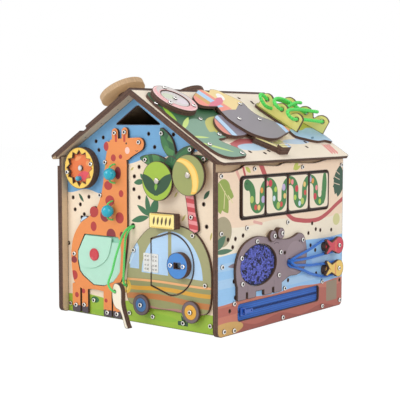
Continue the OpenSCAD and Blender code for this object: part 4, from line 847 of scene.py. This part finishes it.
def dress_front():
    dress(board("giraffe_paint", "front", (236, 144, 78), giraffe_print, scorched_and_shaded=False), "giraffe_plate")
    dress(board("bird_paint", "front", (196, 220, 238),
                [(oval(-92, 134, 8, 6), (214, 226, 236)), (leaf(-108, 138, -92, 131, 3), (120, 150, 180))]),
          "small_bird")
    palm_print = [
        (several(leaf, (66, 224, 44, 268, 12), (64, 224, 10, 232, 8), (64, 224, 100, 250, 8),
                 (64, 224, 124, 234, 8)), (56, 116, 66)),
        (several(block, (66, 259, 8, 5, 0, -28), (60, 243, 9, 4.6, 0, -20), (37, 233, 6, 7, 0, 14),
                 (20, 230, 4, 6, 0, 20)), (78, 134, 74)),
        (several(block, (52, 268, 7, 3, 0, -30), (68, 247, 8, 3.4, 0, -24), (56, 233, 8, 3, 0, -12),
                 (28, 230.5, 3.2, 6, 0, 16)), (38, 90, 54)),
        (block(98, 170, 34, 40, 0), (200, 74, 78)),
        (either(*[block(98 + 1.4 * i, 194 - 11.5 * i, 16, 2.6, 0, -6) for i in range(6)]), (236, 150, 152))]
    dress(board("palm_paint", "front", (38, 92, 56), palm_print), "palm_plate")
    dress(board("lime_disc_paint", "front", (158, 188, 60),
                [(either(leaf(47, 182, 18, 211, 17), leaf(40, 182, 73, 213, 17), oval(43.5, 189, 9, 5.6)),
                  (36, 74, 46)),
                 (leaf(42.4, 189, 44.6, 200, 5), (120, 172, 60))]), "small_disc")
    dress(board("olive_disc_paint", "front", (154, 160, 96),
                [(both(cut(oval(88, 204, 30, 30), oval(79, 199.5, 28, 30)), above(187)), (244, 192, 84)),
                 (both(cut(oval(87, 203, 28.6, 29), oval(80.6, 200, 28, 30)), above(190)), (250, 214, 122))]),
          "large_disc")
    dress(board("van_paint", "front", (166, 164, 118), van_print), "van_plate", "van_door")
    dress(board("sign_paint", "front", (250, 232, 150),
                [(several(block, (57, 157, 19, 0.6), (57, 139.8, 19, 0.6)), (226, 186, 84)),
                 (either(*[leaf(42 + 7.2 * i, 142.6, 44 + 7.2 * i, 154.4, 3.6) for i in range(5)]),
                  (84, 66, 44))]), "van_sign")
    dress(board("pull_paint", "front", (70, 136, 208), gloss=0.34, speckle=0.06, grain=0.08), "door_pull")
    dress(board("front_wheel_paint", "front", (112, 96, 102),
                [(oval(*FRONT_WHEEL, 10.4), (82, 76, 88)), (oval(*FRONT_WHEEL, 9.4), (74, 128, 188))]),
          "front_wheel")
    dress(board("rear_wheel_paint", "front", (112, 96, 102),
                [(oval(*REAR_WHEEL, 10.8), (128, 96, 60)), (oval(*REAR_WHEEL, 9.8), (232, 172, 62))]),
          "rear_wheel")
    ring_marks = [(either(*[leaf(*around(DIAL, 28, t), *around(DIAL, 23, t + 0.05), 2.4)
                            for t in [k * math.pi / 6 for k in range(12)]]), (228, 172, 62))]
    dress(board("dial_ring_paint", "front", (246, 204, 92), ring_marks), "dial_ring")
    dress(board("dial_disc_paint", "front", (236, 122, 66),
                [(either(oval(-101, 203, 9, 6, 20), leaf(-112, 204, -88, 208, 9)), (232, 84, 96)),
                 (either(oval(-90, 222, 5, 4), leaf(-118, 226, -104, 232, 6)), (244, 156, 96)),
                 (oval(*DIAL, 4.1), (222, 220, 218))], speckle=0.2), "dial_disc")
    dress(board("tusk_paint", "front", (246, 236, 214), speckle=0.05), "threading_tusk")


def dress_wall():
    dress(board("tile_paint", "right", (240, 226, 202), tile_print), *TILES)
    dress(board("hippo_paint", "right", (140, 122, 128),
                [(either(oval(30, 110, 2.2, 3), strokes([(-34, 113), (-28, 115), (-22, 113)], 1.1)),
                  (84, 66, 74)),
                 (several(line, (-95, 44, -95, 62, 0.8), (-33, 44, -33, 62, 0.8), (-76, 44, -76, 54, 0.8)),
                  (112, 96, 104)),
                 (oval(20, 90, 24, 22), (150, 132, 138))]), "hippo_plate")
    stripes = [both(oval(127, z, 12.6), block(118 - 4 * k, z, 1.1, 20)) for z in (96, 61) for k in range(2)]
    fish = [(below(78.5), (236, 198, 104)), (either(*stripes), (222, 120, 90)),
            (several(line, (92, 100, 104, 96, 1), (92, 92, 104, 96, 1), (92, 66, 104, 62, 1)), (160, 60, 60))]
    dress(board("fish_paint", "right", (204, 66, 84), fish), "fish_hooks")


def dress_roof():
    dress(board("leaf_paint", "right_roof", (124, 160, 138), leaf_print), "leaf_plate")
    # The dark red ovals round the ring's screws are painted shadows of the screws
    screw_shadows = [oval(*around(ROOF_RING, 28, math.radians(d)), 4.4, 3.4, d) for d in ROOF_RING_SCREWS]
    dress(board("roof_ring_paint", "right_roof", (240, 182, 184),
                [(either(*screw_shadows), (180, 60, 70)),
                 (cut(oval(*ROOF_RING, 34), oval(*ROOF_RING, 31)), (248, 206, 204)),
                 (cut(oval(-112, 150, 27), oval(*ROOF_RING, 24)), (214, 206, 202))]), "roof_ring")
    dress(board("toucan_paint", "right_roof", (138, 132, 138), toucan_print), "toucan_plate")
    dress(board("wing_paint", "right_roof", (132, 124, 138), wing_print), "wing_plate")
    dress(board("tail_paint", "right_roof", (226, 214, 150),
                [(block(2, 17, 6, 10), (196, 212, 240)), (line(-20, 17, 6, 17, 1.2), (120, 120, 80))]),
          "tail_lever")
    dress(board("lacing_base_paint", "right_roof", (190, 190, 78), base_print), "lacing_base")
    dress(board("lacing_paint", "lacing", (240, 230, 140), two_sided=True), "lacing_frame")
    dress(board("spinner_wood", "left_roof", (206, 176, 138), back=(196, 164, 128), grain=0.5, gloss=0.6,
                two_sided=True, burn=0.04), "left_spinner")
    dress(board("round_plate_paint", "left_roof", (214, 190, 156), grain=0.3), "left_round_plate")
    dress(board("post_wood", "floor", (200, 170, 134), grain=0.4, two_sided=True), "pivot_posts")


dress_house()
dress_front()
dress_wall()
dress_roof()


# Other finishes -------------------------------------------------------------------------

def metal(name, colour, rough):
    material, g = new_material(name)
    scratch = g.group("felt nap", Point=g.point(), Strength=0.08)
    g.paint(colour, scratch["Shade"], Metallic=1,
            Roughness=g.math("MULTIPLY_ADD", scratch["Height"], 0.15, rough - 0.07))
    return material


def gloss_paint(name, colour, rough, coat):
    material, g = new_material(name)
    place = g.vector("MULTIPLY", g.point(), (TO_MM, TO_MM, TO_MM))
    speck = g.group("brush speckle", Place=place, Size=4, Strength=0.06)[0]
    g.paint(colour, speck, Roughness=g.math("MULTIPLY_ADD", speck, 0.3, rough - 0.3), Coat_Weight=coat,
            Coat_Roughness=0.12)
    return material


def braided(name, colour, pitch, strands, depth=0.0004):
    material, g = new_material(name)
    weave = g.group("braid", Map=g.point("UV"), Pitch=pitch, Strands=strands)
    g.paint(colour, weave["Shade"], Roughness=0.7, Sheen_Weight=0.2)
    g.bump(weave["Height"], 0.8, depth)
    return material


def felt(name, colour):
    material, g = new_material(name)
    nap = g.group("felt nap", Point=g.point(), Strength=0.22)
    g.paint(colour, nap["Shade"], Roughness=0.92, Sheen_Weight=0.35)
    g.bump(nap["Height"], 0.35, 0.0003)
    return material


def ribbed_tape(name, colour):
    """Woven tape with fine ribs that run along it, with painted shade in the grooves between them."""
    material, g = new_material(name)
    point = g.point()
    nap = g.group("felt nap", Point=point, Strength=0.2)
    rib = g.math("ABSOLUTE", g.math("SINE", g.math("MULTIPLY", g.split(point)[2], math.pi / (TAPE_RIB * MM))))
    # The colour is darker in the grooves between the ribs: painted shade
    shade = g.math("MULTIPLY", g.math("MULTIPLY_ADD", rib, 0.45, 0.66), nap["Shade"])
    g.paint(colour, shade, Roughness=0.85, Sheen_Weight=0.25)
    g.bump(rib, 0.5, 0.0004)
    return material


def foil(name, colour):
    """Shiny film whose brightness changes from one sequin to the next: painted highlights and shade."""
    material, g = new_material(name)
    painted_glint = g.fill(g.node("TexVoronoi"), Vector=g.point(), Scale=380)
    # Each sequin is made lighter or darker at random: painted highlight and shade
    shade = g.math("MULTIPLY_ADD", g.split(painted_glint.outputs["Color"])[0], 1.3, 0.3)
    g.paint(colour, shade, Metallic=0.35, Roughness=0.34)
    return material


steel = metal("screw_steel", (238, 236, 232), 0.3)
dull_steel = metal("cap_steel", (196, 188, 180), 0.36)
# Dark paint for each screw's cross recess and the outer side of its head: painted shade in the recess, painted
# shadow round the head
screw_shade = gloss_paint("screw_painted_shade", (58, 50, 48), 0.6, 0)
dress(gloss_paint("hinge_white_metal", (232, 232, 228), 0.32, 0.2), "hinge_frame_leaf", "hinge_door_leaf")
dress(gloss_paint("bead_turquoise", (0, 168, 194), 0.24, 0.35), "upper_bead", "lower_bead")
dress(gloss_paint("peg_turquoise", (60, 168, 196), 0.25, 0.3), "dial_peg")
dress(gloss_paint("snap_red", (206, 48, 62), 0.3, 0.4), "snap_button")
dress(gloss_paint("zipper_blue_metal", (44, 92, 186), 0.3, 0.3), "zipper_slider", "zipper_pull")
dress(board("pearl_disc_paint", "right_roof", (214, 208, 206),
            [(oval(-124, 150, 12, 8), (206, 214, 190)), (oval(-108, 136, 12, 8), (226, 214, 222))],
            gloss=0.25, speckle=0.25), "roof_ring_disc")
green_braid = braided("green_braid", (96, 214, 108), 2.4, 2)
for piece in threading_pieces:
    piece.data.materials.append(green_braid)


# Screws -----------------------------------------------------------------------------------

SCREW_RADIUS, CAP_RADIUS = 3.3, 4.1


def pin_blank(name, sides, radius):
    """A short round pin on the floor, in edit mode, with only its top face selected."""
    select_only()
    bpy.ops.mesh.primitive_cylinder_add(vertices=sides, radius=radius * MM, depth=2 * MM, location=(0, 0, MM))
    pin = settle(name_piece(name))
    bpy.ops.object.mode_set(mode="EDIT")
    mesh = bmesh.from_edit_mesh(pin.data)
    for f in mesh.faces:
        f.select = f.normal.z > 0.9
    bmesh.update_edit_mesh(pin.data)
    return pin


def finish_pin(pin):
    bpy.ops.object.mode_set(mode="OBJECT")
    bpy.ops.object.shade_smooth_by_angle(angle=math.radians(38))
    return pin


def screw_master():
    screw = pin_blank("screw_master", 20, SCREW_RADIUS)
    screw.data.materials.append(steel)
    screw.data.materials.append(screw_shade)
    bpy.ops.mesh.inset(thickness=0.6 * MM, depth=0)
    bpy.ops.mesh.inset(thickness=0.85 * MM, depth=0)
    bpy.ops.mesh.extrude_region_move(TRANSFORM_OT_translate={"value": (0, 0, -1.1 * MM)})
    bpy.ops.transform.resize(value=(0.9, 0.9, 1), center_override=(0, 0, 0))
    mesh = bmesh.from_edit_mesh(screw.data)
    # The recess and the head's outer side take the dark paint: painted shade in the recess, painted shadow
    # round the head
    for f in mesh.faces:
        reach = [math.hypot(v.co.x, v.co.y) for v in f.verts]
        f.material_index = 1 if max(reach) < 1.9 * MM or min(reach) > 3.2 * MM else 0
    for v in mesh.verts:
        reach = math.hypot(v.co.x, v.co.y)
        if v.co.z > 1.9 * MM and reach > 3 * MM:
            v.co.z -= 0.9 * MM
    bmesh.update_edit_mesh(screw.data)
    return finish_pin(screw)


def cap_master():
    """The plain rounded cap that a big disc turns under."""
    cap = pin_blank("cap_master", 24, CAP_RADIUS)
    cap.data.materials.append(dull_steel)
    bpy.ops.mesh.bevel(offset=1.3 * MM, segments=3, affect="EDGES")
    return finish_pin(cap)


# Screws on the front panel's plates and on the panel, on the right wall, the hippo and the roof leaf
PLATE_SCREWS = [(-40.4, 266.4), (-21.4, 267.6), (5.6, 253.8), (-59.5, 224.5), (-70, 177), (-124, 88),
                (-121, 12), (-104, 14), (-57, 8), (-38, 8), (47.4, 266.4), (17.6, 230), (97.5, 245.5),
                (121, 233.5), (99.5, 155.5), (102, 131), (123.5, 66), (-5, 103)]
PANEL_SCREWS = [(-88, 22), (-137, 12), (-17, 12), (27, 12), (129, 12), (82, 10)]
WALL_SCREWS = [(-149.5, 212), (-149.5, 137), (-147, 93), (-76, 219), (42, 217), (150, 216), (-93, 140),
               (5, 140), (-121, 41), (-2, 46), (98, 43), (-143, 7), (-121, 5), (-6, 5), (99, 6), (149, 8)]
HIPPO_SCREWS = [(-75, 120.5), (-110, 101), (-108, 66), (-22, 68), (-18, 100), (38, 112)]
LEAF_SCREWS = [(-154.5, 140.5), (-103, 100), (-104, 60), (-150, 37), (-106, 14)]


def screw_places():
    """Each screw's face and its place, from the lowest layer up."""
    front = [(*p, PLY) for p in PLATE_SCREWS] + [(*p, 0) for p in PANEL_SCREWS]
    front += [(*around(DIAL, 25, math.radians(d)), PLATE_TOP) for d in (15, 195)]
    front += [(*wheel, 2 * PLY + RUN_GAP) for wheel in (FRONT_WHEEL, REAR_WHEEL)]
    right = [(*p, PLY) for p in HIPPO_SCREWS] + [(*p, 0) for p in WALL_SCREWS]
    right += [(-39, 125, 2 * PLY), (-20, 127, 2 * PLY), (127, 96, PLATE_TOP), (127, 61, PLATE_TOP)]
    roof = [(*p, PLY) for p in LEAF_SCREWS]
    roof += [(*around(ROOF_RING, 28, math.radians(d)), PLATE_TOP) for d in ROOF_RING_SCREWS]
    roof += [(17, 130, PLATE_TOP), (-33, 88, PLATE_TOP), (14, 86, PLATE_TOP), (*ROOF_RING, 11 + RUN_GAP)]
    return ([("front", on_front(*p)) for p in front] + [("right", on_right(*p)) for p in right]
            + [("right_roof", on_right_roof(*p)) for p in roof]
            + [("left_roof", on_left_roof(-127.5, 149, 24 + RUN_GAP))])


def place_on(face, point, turn=0.0, size=1.0):
    return Matrix.Translation(point) @ turn_to(face) @ Matrix.Rotation(turn, 4, "Z") @ Matrix.Scale(size, 4)


def add_screws():
    chance = random.Random(3)
    places = [place_on(face, p, chance.uniform(0, 1)) for face, p in screw_places()]
    ride_on(repeat(screw_master(), "screws", places), "house", "steel", "panel_screws")
    hinge_pins = {side: [place_on("front", on_front(HINGE_X + side * (5 + 4.6 * i), 75 + k, PLY + 1), 0.3, 0.42)
                         for i in (0, 1) for k in (4, 9.5, 16.5, 22)] for side in (-1, 1)}
    pull_screws = [place_on("front", on_front(PULL_AT[0] + x, PULL_AT[1], 13), 0.4, 1.02) for x in (-11, 11)]
    disc_caps = [place_on("front", on_front(*p, PLATE_TOP + RUN_GAP)) for p in (SMALL_DISC, LARGE_DISC)]
    for name, body, places, master in (("hinge_screws_frame", "house", hinge_pins[-1], screw_master),
                                       ("hinge_screws_door", "door", hinge_pins[1], screw_master),
                                       ("pull_screws", "door", pull_screws, screw_master),
                                       ("disc_caps", "house", disc_caps, cap_master)):
        ride_on(repeat(master(), name, places), body, "steel")


add_screws()


# Cords that are fixed at both ends ----------------------------------------------------------

BEAD_ROUTE = [(1.5, 13.8, 4), (1.5, 13.8, 6.5), (1, 13, 9), (0.4, 11.2, 12), (0, 9.2, 13.3), (0, 7, 13.3),
              (0, -7, 13.3), (0, -9.2, 13.3), (0.4, -10.6, 12), (1, -12, 9), (1.5, -12.6, 6.5), (1.5, -12.6, 4)]
RED_ROUTE = [(6.2, 85.2, 0.4), (6.2, 85.2, 4), (9, 87, 6.4), (20, 90, 6.6), (36, 93, 6.6), (52, 96, 6.2),
             (70, 100, 5.2), (90, 105.2, 5), (110, 105.6, 5), (127, 105.4, 5), (132.6, 101, 5), (133, 93, 5),
             (129.5, 88, 5), (118, 86.4, 5), (95, 85.6, 5), (75, 84.6, 5), (52, 84, 6.2), (36, 84.2, 6.6),
             (20, 84.4, 6.6), (11, 84, 6.4), (6.4, 80.8, 4), (6.2, 80.8, 0.4)]
YELLOW_ROUTE = [(1.8, 85.2, 0.4), (1.8, 85.2, 4), (1.2, 84.2, 9.4), (5, 80.6, 10.8), (12, 78.4, 10.4),
                (24, 77, 8), (40, 75, 6.6), (56, 73, 6), (75, 71.8, 5), (95, 71, 5), (112, 70.6, 5),
                (127, 70.4, 5), (132.6, 66, 5), (133, 58, 5), (129.5, 53, 5), (118, 51.6, 5), (95, 51.6, 5),
                (75, 56, 5), (56, 61, 5.6), (40, 67, 6.6), (24, 72, 6.6), (12, 75.6, 6.6), (5, 77, 6.4),
                (1.8, 79.6, 4.6), (1.8, 80.8, 0.4)]
LACE_HIGH = PLY + 26 - 9
LACE_PITCH = 29
FRONT_PLATE = (Vector((81, 140)), Vector((90, 63)))
REAR_PLATE = (Vector((127, 130)), Vector((155, 57)))


def lace_hole(plate, step, across):
    way = (plate[1] - plate[0]).normalized()
    side = Vector((-way.y, way.x))
    spot = (plate[0] + plate[1]) / 2 + step * LACE_PITCH * way + across * side
    return (spot.x, spot.y, LACE_HIGH)


def lace_route():
    f, r, h = FRONT_PLATE, REAR_PLATE, LACE_HIGH
    over = h + 8
    return [(84, 117, h - 8), (76, 119, h - 8), (68, 121.5, h - 5.5), (62.5, 127, h - 0.5), (62.5, 134, h + 4),
            (68.5, 137.5, h + 5.5), (75.5, 134, h + 3.5), lace_hole(f, -1, -3.5), lace_hole(f, -1, 3.5),
            (106, 127, h + 1.5), lace_hole(r, -1, -3.5), lace_hole(r, -1, 3.5), (141, 121, h + 1.5),
            (145, 114, h + 5), (139, 108, over), (123, 107, over + 1), (103, 105, h + 3), lace_hole(f, 0, 3.5),
            lace_hole(f, 0, -3.5), (75, 101.5, h + 1.5), (69.5, 106, h + 4.5), (71.5, 113, over - 1),
            (80, 117, over + 1.5), (94, 117, over + 1.5), (110, 113, over - 1), (128, 100, h + 2),
            lace_hole(r, 0, -3.5), lace_hole(r, 0, 3.5), (151.5, 94.5, h + 1.5), (156, 88, h + 5),
            (151.5, 81, over), (141, 81.5, over + 0.5), (126, 86, over), (106, 88, over), (88, 87.5, over),
            (77.5, 87, over - 1), (70.5, 83, h + 5.5), (70, 76, h + 2.5), (76.5, 72, h + 0.5),
            lace_hole(f, 1, -3.5), lace_hole(f, 1, 3.5), (120, 69, h + 0.5), lace_hole(r, 1, -3.5),
            lace_hole(r, 1, 3.5), (158.5, 68.5, h - 0.5), (161, 63.5, h - 3)]


def add_fixed_cord(name, path, thick, sides, material, slot, stands_for):
    cord = tube(name, path, thick / 2 * MM, sides)
    cord.data.materials.append(material)
    ride_on(cord, "house", slot, stands_for)


def add_fixed_cords():
    for name, (x, z) in (("upper_bead_cord", (-42.3, 208.3)), ("lower_bead_cord", (-46.8, 155.8))):
        path = spline([on_front(x + a, z + b, out) for a, b, out in BEAD_ROUTE], 4)
        add_fixed_cord(name, path, 2.5, 10, green_braid, "green_cord", "bead_cords")
    blue = braided("blue_elastic", (38, 112, 206), 1.8, 3, 0.0003)
    for name, route in (("red_fish_elastic", RED_ROUTE), ("yellow_fish_elastic", YELLOW_ROUTE)):
        path = spline([on_right(*p) for p in route], 5)
        add_fixed_cord(name, path, 4, 12, blue, "blue_elastic", "elastic_loops")
    path = eased(spline([on_right_roof(*p) for p in lace_route()], 6), 2 * MM, 7)
    lime = braided("lime_lace_braid", (88, 226, 96), 4, 2, 0.0006)
    add_fixed_cord("lace", path, 5.2, 14, lime, "lime_lace", "roof_lace")


add_fixed_cords()


# Felt pouch ---------------------------------------------------------------------------------

POUCH = [(-103, 119), (-117, 94), (-117.4, 77), (-113.4, 63), (-107, 57), (-85, 45), (-64, 45.6), (-46, 53),
         (-38, 61), (-32.3, 69), (-30.1, 95), (-30.6, 113), (-36.6, 119)]
POUCH_FRONT = [(-107.5, 111), *POUCH[1:11], (-30.5, 111)]
FLAP_EDGE = [(-112, 74.5), (-99, 70), (-82, 71.2), (-66.5, 78.5), (-55.5, 89), (-49.8, 105)]


def inset_outline(points, by):
    """The outline, which runs anticlockwise, with each of its sides moved in."""
    found = []
    for i, here in enumerate(points):
        here, before, after = Vector(here), Vector(points[i - 1]), Vector(points[(i + 1) % len(points)])
        first, second = (here - before).normalized(), (after - here).normalized()
        inward = Vector((-first.y - second.y, first.x + second.x)).normalized()
        found.append(tuple(here + inward * by / inward.dot(Vector((-first.y, first.x)))))
    return found


def thicken(sheet, thick, offset=0):
    solid = sheet.modifiers.new("thickness", "SOLIDIFY")
    solid.thickness = thick * MM
    solid.offset = offset
    return apply_modifiers(sheet)


def face_outwards(sheet):
    bpy.ops.object.mode_set(mode="EDIT")
    bpy.ops.mesh.select_all(action="SELECT")
    bpy.ops.mesh.normals_make_consistent(inside=False)
    bpy.ops.object.mode_set(mode="OBJECT")
    bpy.ops.object.shade_smooth_by_angle(angle=math.radians(40))
    return sheet


def felt_sheet(name, outline, low, thick, swell=0.0):
    """A cut sheet of felt: the outline is filled, divided, swelled in the middle and given its thickness."""
    select_only()
    centre = Vector((sum(p[0] for p in outline), sum(p[1] for p in outline))) / len(outline)
    bpy.ops.mesh.primitive_circle_add(vertices=len(outline), radius=1, fill_type="NGON")
    sheet = name_piece(name)
    for vertex, (x, z) in zip(sheet.data.vertices, outline):
        vertex.co = on_front(x, z, low)
    bpy.ops.object.mode_set(mode="EDIT")
    bpy.ops.mesh.select_all(action="SELECT")
    bpy.ops.mesh.poke()
    bpy.ops.mesh.subdivide(number_cuts=7)
    bpy.ops.object.mode_set(mode="OBJECT")
    wide = sum(math.hypot(x - centre.x, z - centre.y) for x, z in outline) / len(outline)
    for v in sheet.data.vertices:
        x, z = v.co.x / MM - centre.x, v.co.z / MM - centre.y
        dome = max(0.0, 1 - (x * x + z * z) / (wide * wide)) ** 0.7
        ripple = 0.12 * math.sin(x / 7.1) * math.sin(z / 9.3 + 0.6)
        v.co.y -= (swell * dome + ripple * min(1, 4 * dome)) * MM
    return face_outwards(thicken(sheet, thick, 1))


def flap_outline():
    edge = [tuple(p) for p in spline([Vector(p) for p in FLAP_EDGE], 4)]
    return [(-101, 117), (-115.1, 93), (-115.4, 80), *edge, (-47.5, 117)]


STITCH_PITCH = 3.6


def stitch_master():
    select_only()
    bpy.ops.mesh.primitive_uv_sphere_add(segments=8, ring_count=5, radius=MM)
    stitch = name_piece("stitch_master")
    stitch.data.transform(Matrix.Diagonal((1.25, 0.32, 0.3, 1)))
    bpy.ops.object.shade_smooth()
    return stitch


def stitch_line(points, out):
    """Places for stitches along a line on the front."""
    spots = []
    at = STITCH_PITCH / 2
    for (x0, z0), (x1, z1) in zip(points, points[1:]):
        long = math.hypot(x1 - x0, z1 - z0)
        turn = math.atan2(z1 - z0, x1 - x0)
        while at < long:
            spot = on_front(x0 + (x1 - x0) * at / long, z0 + (z1 - z0) * at / long, out)
            spots.append(place_on("front", spot, turn))
            at += STITCH_PITCH
        at -= long
    return spots


def add_pouch():
    # The back sheet takes a darker copy of the mint felt: painted shade inside the pouch
    mint, shaded_mint = felt("mint_felt", (184, 230, 208)), felt("mint_felt_painted_shade", (150, 212, 184))
    back = felt_sheet("pouch_back", FELT_BACK, 0.1, 1.4)
    front = felt_sheet("pouch_front", FELT_FRONT, 1.6, 1.3, 0.25)
    flap = felt_sheet("pouch_flap_felt", FELT_FLAP, 3.5, 1.2)
    seam = repeat(stitch_master(), "pouch_stitches", stitch_line(inset_outline(POUCH_FRONT, 2.6), 3.05))
    thread = gloss_paint("mint_thread", (214, 240, 226), 0.6, 0)
    for piece, material in ((back, shaded_mint), (front, mint), (flap, mint), (seam, thread)):
        piece.data.materials.append(material)
    ride_on(back, "house", "mint_felt", "felt_pouch")
    ride_on(front, "house", "mint_felt", "felt_pouch")
    ride_on(flap, "flap", "mint_felt", "pouch_flap")
    ride_on(seam, "house", "mint_felt")


FELT_BACK, FELT_FRONT, FELT_FLAP = inset_outline(POUCH, 0.9), inset_outline(POUCH_FRONT, 0.9), flap_outline()
add_pouch()


# Sequins ------------------------------------------------------------------------------------

WINDOW = (-69.5, 88)
SEQUIN_PITCH = (3.1, 2.5)
CLOTH_HALF = (42, 28)


def sequin_places():
    """Places of the bright sequins and of those that are brushed over to their dark side."""
    chance = random.Random(11)
    bright, dark = [], []
    for row in range(-11, 12):
        for column in range(-14, 15):
            y = column * SEQUIN_PITCH[0] + (row % 2) * SEQUIN_PITCH[0] / 2 - row * 0.35
            z = row * SEQUIN_PITCH[1]
            if (y / 39.5) ** 2 + (z / 25.5) ** 2 > 1:
                continue
            tilt = Matrix.Rotation(math.radians(-16 + chance.uniform(-9, 9)), 4, "X")
            roll = Matrix.Rotation(math.radians(chance.uniform(-14, 14)), 4, "Y")
            brushed = math.sin(y / 5 + 1) * math.sin(z / 4 + y / 9) > 0.45
            side = dark if chance.random() < 0.08 + 0.5 * brushed else bright
            side.append(place_on("right", on_right(WINDOW[0] + y, WINDOW[1] + z, 1.2)) @ tilt @ roll)
    return bright, dark


def add_sequins():
    select_only()
    bpy.ops.mesh.primitive_circle_add(vertices=40, radius=1, fill_type="NGON")
    cloth = name_piece("sequin_cloth")
    cloth.data.transform(Matrix.Diagonal((CLOTH_HALF[0] * MM, CLOTH_HALF[1] * MM, 1, 1)))
    cloth.data.transform(place_on("right", on_right(*WINDOW, 0.3)))
    thicken(cloth, 0.5)
    cloth.data.materials.append(felt("sequin_backing", (30, 30, 70)))
    names = (("sequins", (84, 92, 178)), ("turned_sequins", (20, 18, 60)))
    for (name, colour), places in zip(names, sequin_places()):
        select_only()
        bpy.ops.mesh.primitive_cylinder_add(vertices=8, radius=1.75 * MM, depth=0.18 * MM,
                                            end_fill_type="TRIFAN")
        disc = name_piece(name + "_master")
        for v in disc.data.vertices:
            if math.hypot(v.co.x, v.co.y) < 0.2 * MM:
                v.co.z += 0.3 * MM
        discs = repeat(disc, name, places)
        discs.data.materials.append(foil(name + "_foil", colour))
        ride_on(discs, "house", "sequins")
    ride_on(cloth, "house", "sequins", "sequin_patch")


add_sequins()


# Zipper -------------------------------------------------------------------------------------

ZIP_LEFT, ZIP_LOW, ZIP_BAND = -112.3, 15.2, 23.4
ZIP_MIDDLE = ZIP_LOW + ZIP_BAND / 2
TAPE_LENGTH, TAPE_WIDTH, TAPE_RIB = 210, 13, 2.9
TOOTH_PITCH, TOOTH_COUNT, TOOTH_SIZE = 1.6, 125, (0.85, 3, 1.1)


def add_tape(name, side, material):
    select_only()
    bpy.ops.mesh.primitive_grid_add(x_subdivisions=100, y_subdivisions=12, size=1)
    tape = name_piece(name)
    near, far = ZIP_MIDDLE + side * 0.7, ZIP_MIDDLE + side * (ZIP_BAND / 2 + 2)
    for v in tape.data.vertices:
        across = v.co.y + 0.5
        y = ZIP_LEFT - 4 + (v.co.x + 0.5) * TAPE_LENGTH
        ripple = 0.12 * math.sin(y / 6.3) * math.sin(math.pi * across)
        rib = 0.3 * abs(math.sin(across * math.pi * 4))
        v.co = on_right(y, near + (far - near) * across, -4.5 + ripple + rib)
    face_outwards(thicken(tape, 0.5))
    tape.data.materials.append(material)
    ride_on(tape, "house", "zip_tape", "zipper_tapes")


def add_teeth():
    select_only()
    bpy.ops.mesh.primitive_cube_add(size=1)
    tooth = name_piece("tooth_master")
    tooth.data.transform(Matrix.Diagonal((*[side * MM for side in TOOTH_SIZE], 1)))
    bevel = tooth.modifiers.new("round", "BEVEL")
    bevel.width = 0.3 * MM
    bevel.segments = 1
    apply_modifiers(tooth)
    places = [place_on("right", on_right(ZIP_LEFT + 1 + TOOTH_PITCH * i, ZIP_MIDDLE + (i % 2 - 0.5), -3.6))
              for i in range(TOOTH_COUNT)]
    teeth = repeat(tooth, "zipper_teeth", places)
    teeth.data.materials.append(gloss_paint("zipper_teeth", (24, 56, 122), 0.35, 0.1))
    ride_on(teeth, "house", "zip_tape", "zipper_tapes")


blue_tape = ribbed_tape("zipper_tape", (50, 106, 196))
add_tape("lower_tape", -1, blue_tape)
add_tape("upper_tape", 1, blue_tape)
add_teeth()


# Stage --------------------------------------------------------------------------------------

WHITE = (1, 1, 1, 1)
WORLD_LEVEL = 0.48


def seen_by(g, *rays):
    """1 where one of these kinds of rays looks."""
    paths = g.node("LightPath").outputs
    seen = paths["Is Camera Ray"]
    for ray in rays:
        seen = g.math("ADD", seen, paths[f"Is {ray} Ray"], clamp=True)
    return seen


def add_stage():
    select_only()
    bpy.ops.mesh.primitive_plane_add(size=14)
    ground = name_piece("pale_floor")
    material = bpy.data.materials.new("pale_floor")
    material.use_nodes = True
    g = Graph(material.node_tree)
    cloth = g.node("BsdfDiffuse", (0.92, 0.92, 0.92, 1))
    glow = g.node("Emission", WHITE, 1.1)
    mixed = g.node("MixShader", g.math("MULTIPLY", seen_by(g, "Glossy"), 0.84), cloth.outputs[0],
                   glow.outputs[0])
    g.node("OutputMaterial", mixed.outputs[0])
    ground.data.materials.append(material)
    world = bpy.data.worlds.new("studio")
    bpy.context.scene.world = world
    world.use_nodes = True
    g = Graph(world.node_tree)
    strength = g.math("MULTIPLY_ADD", seen_by(g, "Glossy", "Transmission"), 1 - WORLD_LEVEL, WORLD_LEVEL)
    g.node("OutputWorld", g.node("Background", WHITE, strength).outputs[0])


def add_lamp(name, place, size, power):
    data = bpy.data.lights.new(name, "AREA")
    data.shape = "SQUARE"
    data.size = size
    data.energy = power
    lamp = bpy.data.objects.new(name, data)
    lamp.location = place
    lamp.rotation_mode = "QUATERNION"
    lamp.rotation_quaternion = (Vector((0, 0, 0.15)) - Vector(place)).to_track_quat("-Z", "Y")
    bpy.context.scene.collection.objects.link(lamp)


add_stage()
add_lamp("front_softbox", (-0.9, -1.9, 1.3), 1.4, 23)
add_lamp("side_softbox", (2.1, -0.6, 1.1), 1.3, 17.5)
add_lamp("top_softbox", (0.2, 0.1, 2.4), 1.6, 12.5)
bpy.context.scene.view_settings.view_transform = "Standard"
